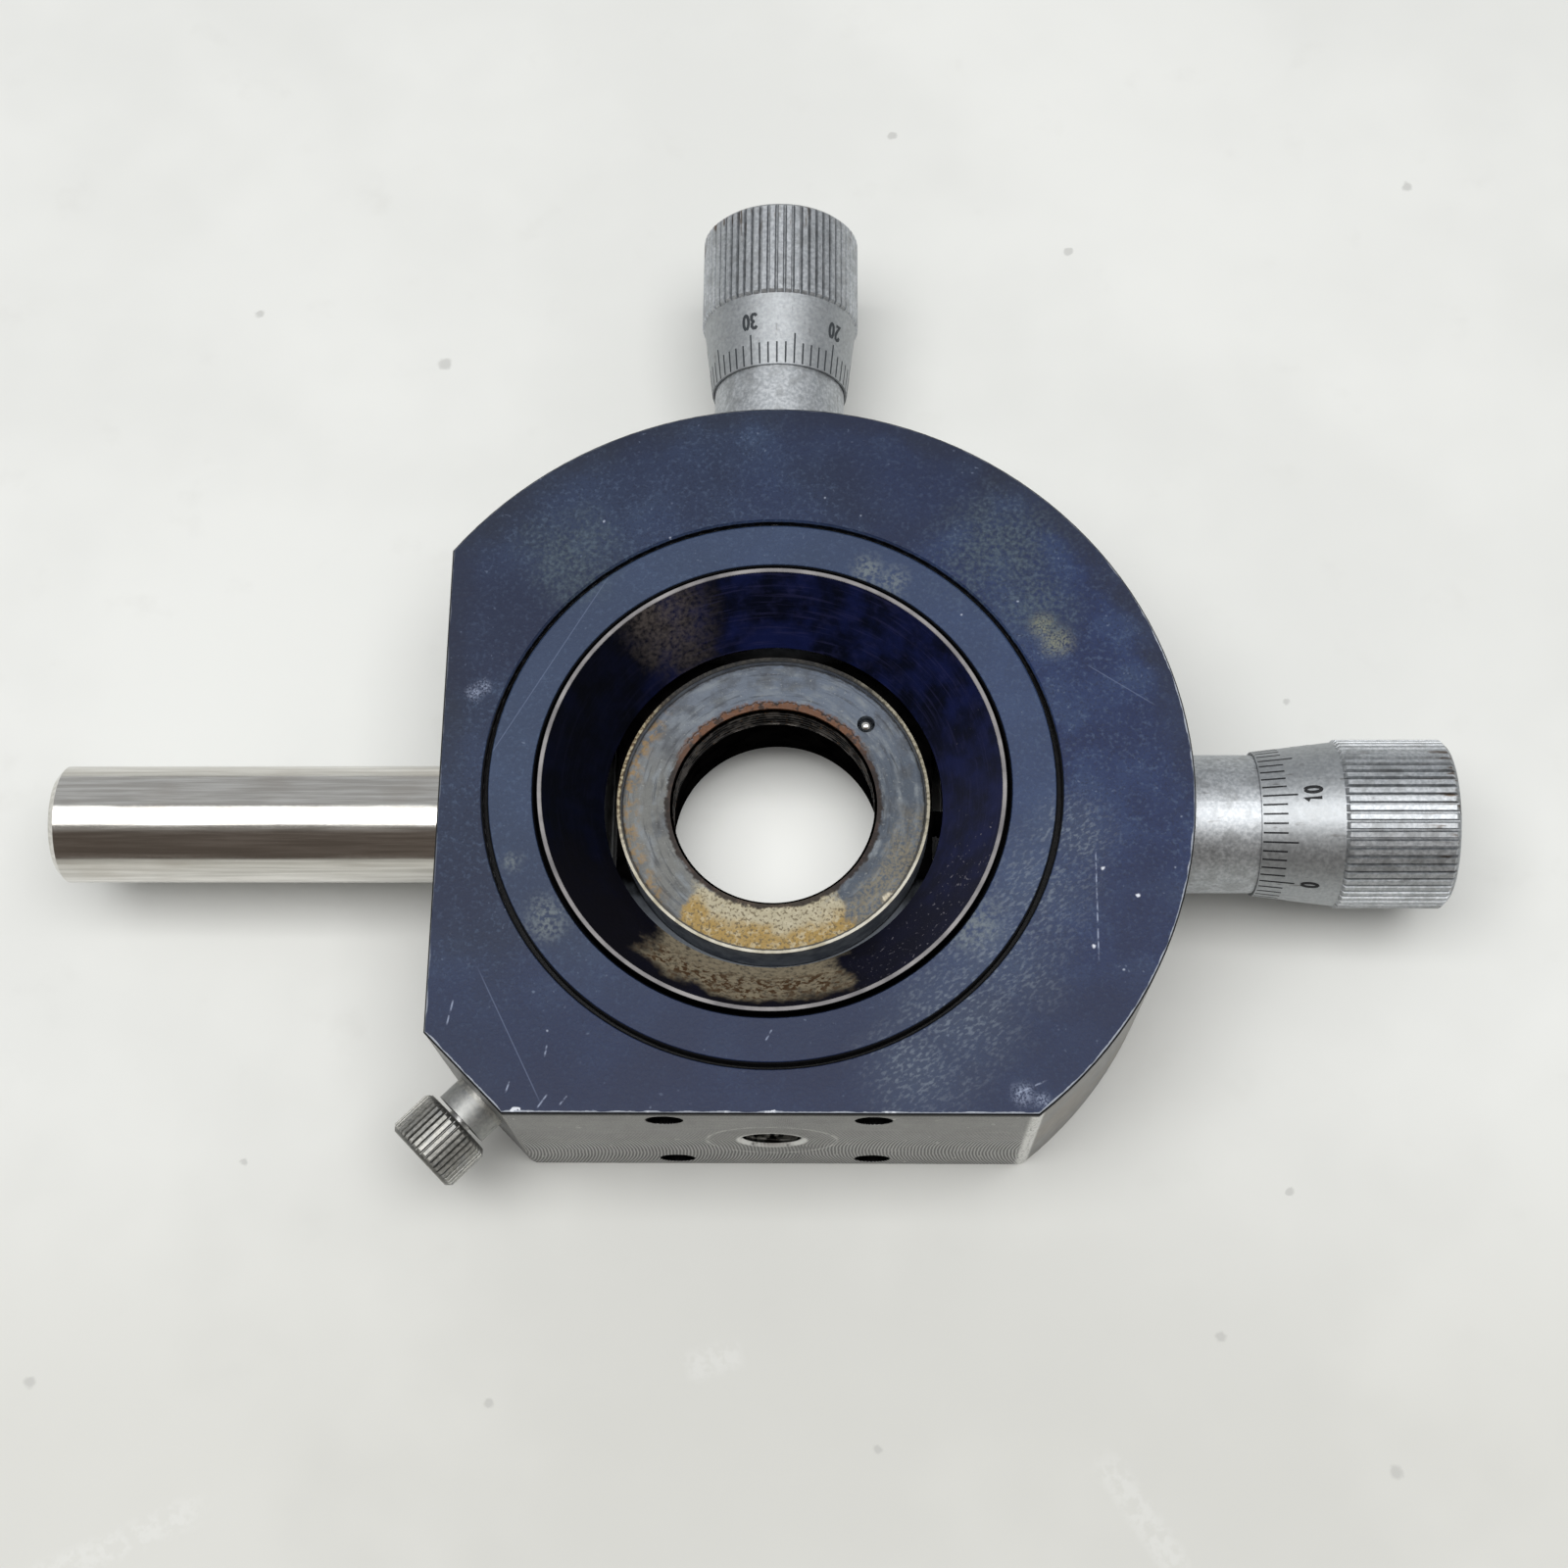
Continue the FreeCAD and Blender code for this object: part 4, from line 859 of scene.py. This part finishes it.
# Numerals as strokes in a box one wide and one high
NUMERALS = {
    "0": [[(0.5 + 0.5 * math.sin(turn * math.pi / 8), 0.5 + 0.5 * math.cos(turn * math.pi / 8))
           for turn in range(17)]],
    "1": [[(0.12, 0.76), (0.55, 1.0), (0.55, 0.0)]],
    "2": [[(0.02, 0.74), (0.12, 0.92), (0.5, 1.0), (0.88, 0.92), (0.98, 0.74), (0.85, 0.5), (0.05, 0.0),
           (1.0, 0.0)]],
    "3": [[(0.02, 0.86), (0.3, 1.0), (0.7, 1.0), (0.97, 0.86), (0.95, 0.66), (0.7, 0.53), (0.4, 0.52)],
          [(0.7, 0.53), (1.0, 0.36), (0.97, 0.14), (0.7, 0.0), (0.3, 0.0), (0.0, 0.14)]],
    "4": [[(0.8, 0.0), (0.8, 1.0), (0.0, 0.3), (1.05, 0.3)]],
}


def cone_radius(station):
    """Radius of a drum's cone at a distance from its edge."""
    return DRUM_EDGE_RADIUS + (DRUM_CONE_RADIUS - DRUM_EDGE_RADIUS) * station / DRUM_CONE_LENGTH


def drum_point(axis_name, edge, turn, station, lift):
    """Point over a drum's cone: an angle from up, a distance from its edge and a height above it."""
    radius = cone_radius(station) + lift
    across = radius * math.sin(turn)
    up = DRIVE_Z + radius * math.cos(turn)
    return (edge + station, across, up) if axis_name == "x" else (across, edge + station, up)


def stroke_sides(points, width):
    """Left and right side of a stroke that follows the points, with mitred corners."""
    sides = []
    for index, point in enumerate(points):
        before = Vector(points[max(index - 1, 0)])
        after = Vector(points[min(index + 1, len(points) - 1)])
        here = Vector(point)
        first = (here - before).normalized() if index else (after - here).normalized()
        second = (after - here).normalized() if index < len(points) - 1 else first
        along = (first + second).normalized()
        across = Vector((-along.y, along.x)) * width / 2 / max(along.dot(first), 0.6)
        sides.append((here + across, here - across))
    return sides


def add_stroke(mesh, points, width, place):
    """Raised ribbon along the points; place turns a flat point and a height into space."""
    vertices, faces = mesh
    start = len(vertices)
    sides = stroke_sides(points, width)
    for left, right in sides:
        for lift in (INK_LIFT, -INK_LIFT):
            vertices.append(place(left.x, left.y, lift))
            vertices.append(place(right.x, right.y, lift))
    for index in range(len(sides) - 1):
        near = start + 4 * index
        far = near + 4
        faces.append((near, near + 1, far + 1, far))
        faces.append((near + 2, far + 2, far + 3, near + 3))
        faces.append((near, far, far + 2, near + 2))
        faces.append((near + 1, near + 3, far + 3, far + 1))
    last = start + 4 * (len(sides) - 1)
    faces.append((start, start + 2, start + 3, start + 1))
    faces.append((last, last + 1, last + 3, last + 2))


def dial_marks(axis_name, edge, zero, sense, ink):
    """Ticks and numerals of a fifty-division drum."""
    mesh = ([], [])
    for division in range(DIVISIONS):
        turn = math.radians(zero + sense * division * DIVISION_ANGLE)

        def place(across, station, lift, turn=turn):
            turned = turn + sense * across / cone_radius(station)
            return drum_point(axis_name, edge, turned, station, lift)

        reach = SHORT_TICK if division % 5 else LONG_TICK
        add_stroke(mesh, [(0, TICK_START), (0, reach / 2), (0, reach)], TICK_WIDTH, place)
        if division % 10 == 0:
            add_number(mesh, str(division), place)
    new_piece(axis_name + "_dial_marks", *mesh, ink, axis_name + "_drum", "dark_steel")


def add_number(mesh, digits, place):
    """Number across the cone, read along the scale with its top towards the drum's edge."""
    advance = NUMERAL_WIDTH + NUMERAL_GAP
    start = -advance * (len(digits) - 1) / 2 - NUMERAL_WIDTH / 2
    top = NUMERAL_STATION - NUMERAL_HEIGHT / 2
    for index, digit in enumerate(digits):
        for stroke in NUMERALS[digit]:
            points = [(start + index * advance + NUMERAL_WIDTH * x, top + NUMERAL_HEIGHT * (1 - y))
                      for x, y in stroke]
            add_stroke(mesh, points, NUMERAL_STROKE, place)


def thread_lining(name, root, crest, pitch, low, high, place, material, body, slot):
    """Helical ridge inside a hole, from its low to its high end."""
    profile = [(0.0, root), (0.38, crest), (0.5, crest), (0.88, root), (1.0, root)]
    turns = math.ceil((high - low) / pitch) + 2
    vertices = []
    faces = []
    row = len(profile)
    for index in range(turns * THREAD_STEPS + 1):
        angle = 2 * math.pi * index / THREAD_STEPS
        base = low - pitch + pitch * index / THREAD_STEPS
        for share, radius in profile:
            height = min(max(base + share * pitch, low), high)
            vertices.append(place(radius * math.cos(angle), radius * math.sin(angle), height))
    for index in range(turns * THREAD_STEPS):
        for side in range(row - 1):
            near = index * row + side
            faces.append((near, near + 1, near + row + 1, near + row))
    new_piece(name, vertices, faces, material, body, slot)


def optic_thread():
    """Thread of the insert's bore, upright on the optical axis."""
    finish = thread_finish("optic_thread_worn", srgb(16, 14, 14), srgb(92, 88, 84), srgb(104, 76, 48), 0.7)
    root = BORE_RADIUS - 0.02
    thread_lining("optic_thread_lining", root, root - OPTIC_THREAD_DEPTH, OPTIC_THREAD_PITCH,
                  INSERT_FOOT + 0.1, OPTIC_THREAD_TOP,
                  lambda x, y, z: (x, y, z), finish, "carrier", "grey_steel")


def front_thread():
    """Thread of the tapped hole in the front flat."""
    # Painted shade: the thread's dark tone stands for shade inside the tapped hole
    finish = thread_finish("front_thread_bright", srgb(44, 43, 42), srgb(196, 195, 190),
                           srgb(120, 112, 100), 1.0)
    thread_lining("front_thread_lining", FRONT_THREAD_ROOT, FRONT_THREAD_CREST, FRONT_THREAD_PITCH,
                  FLAT_DISTANCE - FRONT_THREAD_LENGTH, FLAT_DISTANCE - FRONT_THREAD_MOUTH,
                  lambda x, y, z: (x, -z, DRIVE_Z + y), finish, "stage_body", "bare_aluminium")


def lay_floor():
    """Wide pale floor under the part."""
    vertices = []
    faces = []
    for row in range(FLOOR_CELLS + 1):
        for column in range(FLOOR_CELLS + 1):
            x = FLOOR_REACH * (2 * column / FLOOR_CELLS - 1)
            y = FLOOR_REACH * (2 * row / FLOOR_CELLS - 1)
            vertices.append((x, y, FLOOR_Z))
    width = FLOOR_CELLS + 1
    for row in range(FLOOR_CELLS):
        for column in range(FLOOR_CELLS):
            corner = row * width + column
            faces.append((corner, corner + 1, corner + width + 1, corner + width))
    mesh_object("floor", vertices, faces, floor_finish())


# The plain surround, and the dark stretch of it where the photographer stands
SURROUND_LOW = srgb(158, 157, 155)
SURROUND_HIGH = srgb(188, 190, 192)
PHOTOGRAPHER = srgb(98, 90, 84)


def area_lamp(name, place, target, size, power, colour):
    """Soft rectangular lamp; places in metres."""
    data = bpy.data.lights.new(name, "AREA")
    data.shape = "RECTANGLE"
    data.size, data.size_y = size
    data.energy = power
    data.color = colour
    lamp = bpy.data.objects.new(name, data)
    lamp.location = place
    away = Vector(place) - Vector(target)
    lamp.rotation_euler = away.to_track_quat("Z", "Y").to_euler()
    bpy.context.scene.collection.objects.link(lamp)


def light_scene():
    """One wide ceiling light, and a plain surround that is darker where the photographer stands."""
    area_lamp("ceiling", LAMP_PLACE, LAMP_TARGET, LAMP_SIZE, LAMP_POWER, LAMP_COLOUR)
    world = bpy.data.worlds.new("surround")
    world.use_nodes = True
    sky = NodeTree(world.node_tree)
    split = sky.node("ShaderNodeSeparateXYZ")
    sky.put(split.inputs[0], sky.node("ShaderNodeTexCoord").outputs["Generated"])
    across, depth, _ = split.outputs
    plain = sky.mix(sky.step(depth, -0.5, 0.2), SURROUND_LOW, SURROUND_HIGH)
    near = sky.mix(sky.step(depth, -0.28, -0.56), plain, PHOTOGRAPHER)
    from_left = sky.mix(sky.step(across, -0.42, -0.62), near, plain)
    colour = sky.mix(sky.step(across, 0.3, 0.5), from_left, plain)
    sky.put(world.node_tree.nodes["Background"].inputs["Color"], colour)
    bpy.context.scene.world = world


def place_camera():
    """Camera at the photograph's own viewpoint."""
    azimuth = math.radians(CAMERA_AZIMUTH)
    elevation = math.radians(CAMERA_ELEVATION)
    roll = math.radians(CAMERA_ROLL)
    ahead = Vector((math.sin(azimuth), math.cos(azimuth), 0))
    forward = ahead * math.cos(elevation) - Vector((0, 0, math.sin(elevation)))
    level = Vector((math.cos(azimuth), -math.sin(azimuth), 0))
    rise = level.cross(forward)
    right = level * math.cos(roll) + rise * math.sin(roll)
    up = rise * math.cos(roll) - level * math.sin(roll)
    data = bpy.data.cameras.new("photo_camera")
    data.sensor_fit = "HORIZONTAL"
    data.sensor_width = SENSOR_WIDTH
    data.lens = SENSOR_WIDTH * FOCAL_PIXELS / IMAGE_SIZE
    data.clip_start = 0.01
    camera = bpy.data.objects.new("photo_camera", data)
    turned = Matrix((right, up, -forward)).transposed().to_4x4()
    turned.translation = Vector(CAMERA_PLACE) * MM
    camera.matrix_world = turned
    bpy.context.scene.collection.objects.link(camera)
    bpy.context.scene.camera = camera


place_camera()
dress_nodes()
dial_marks("x", X_DRUM_EDGE, X_ZERO_ANGLE, 1, ink_finish("x_dial_ink", srgb(26, 27, 30)))
dial_marks("y", Y_DRUM_EDGE, Y_ZERO_ANGLE, -1, ink_finish("y_dial_ink", srgb(52, 56, 60)))
optic_thread()
front_thread()
lay_floor()
light_scene()
bpy.context.scene.view_settings.view_transform = "Standard"
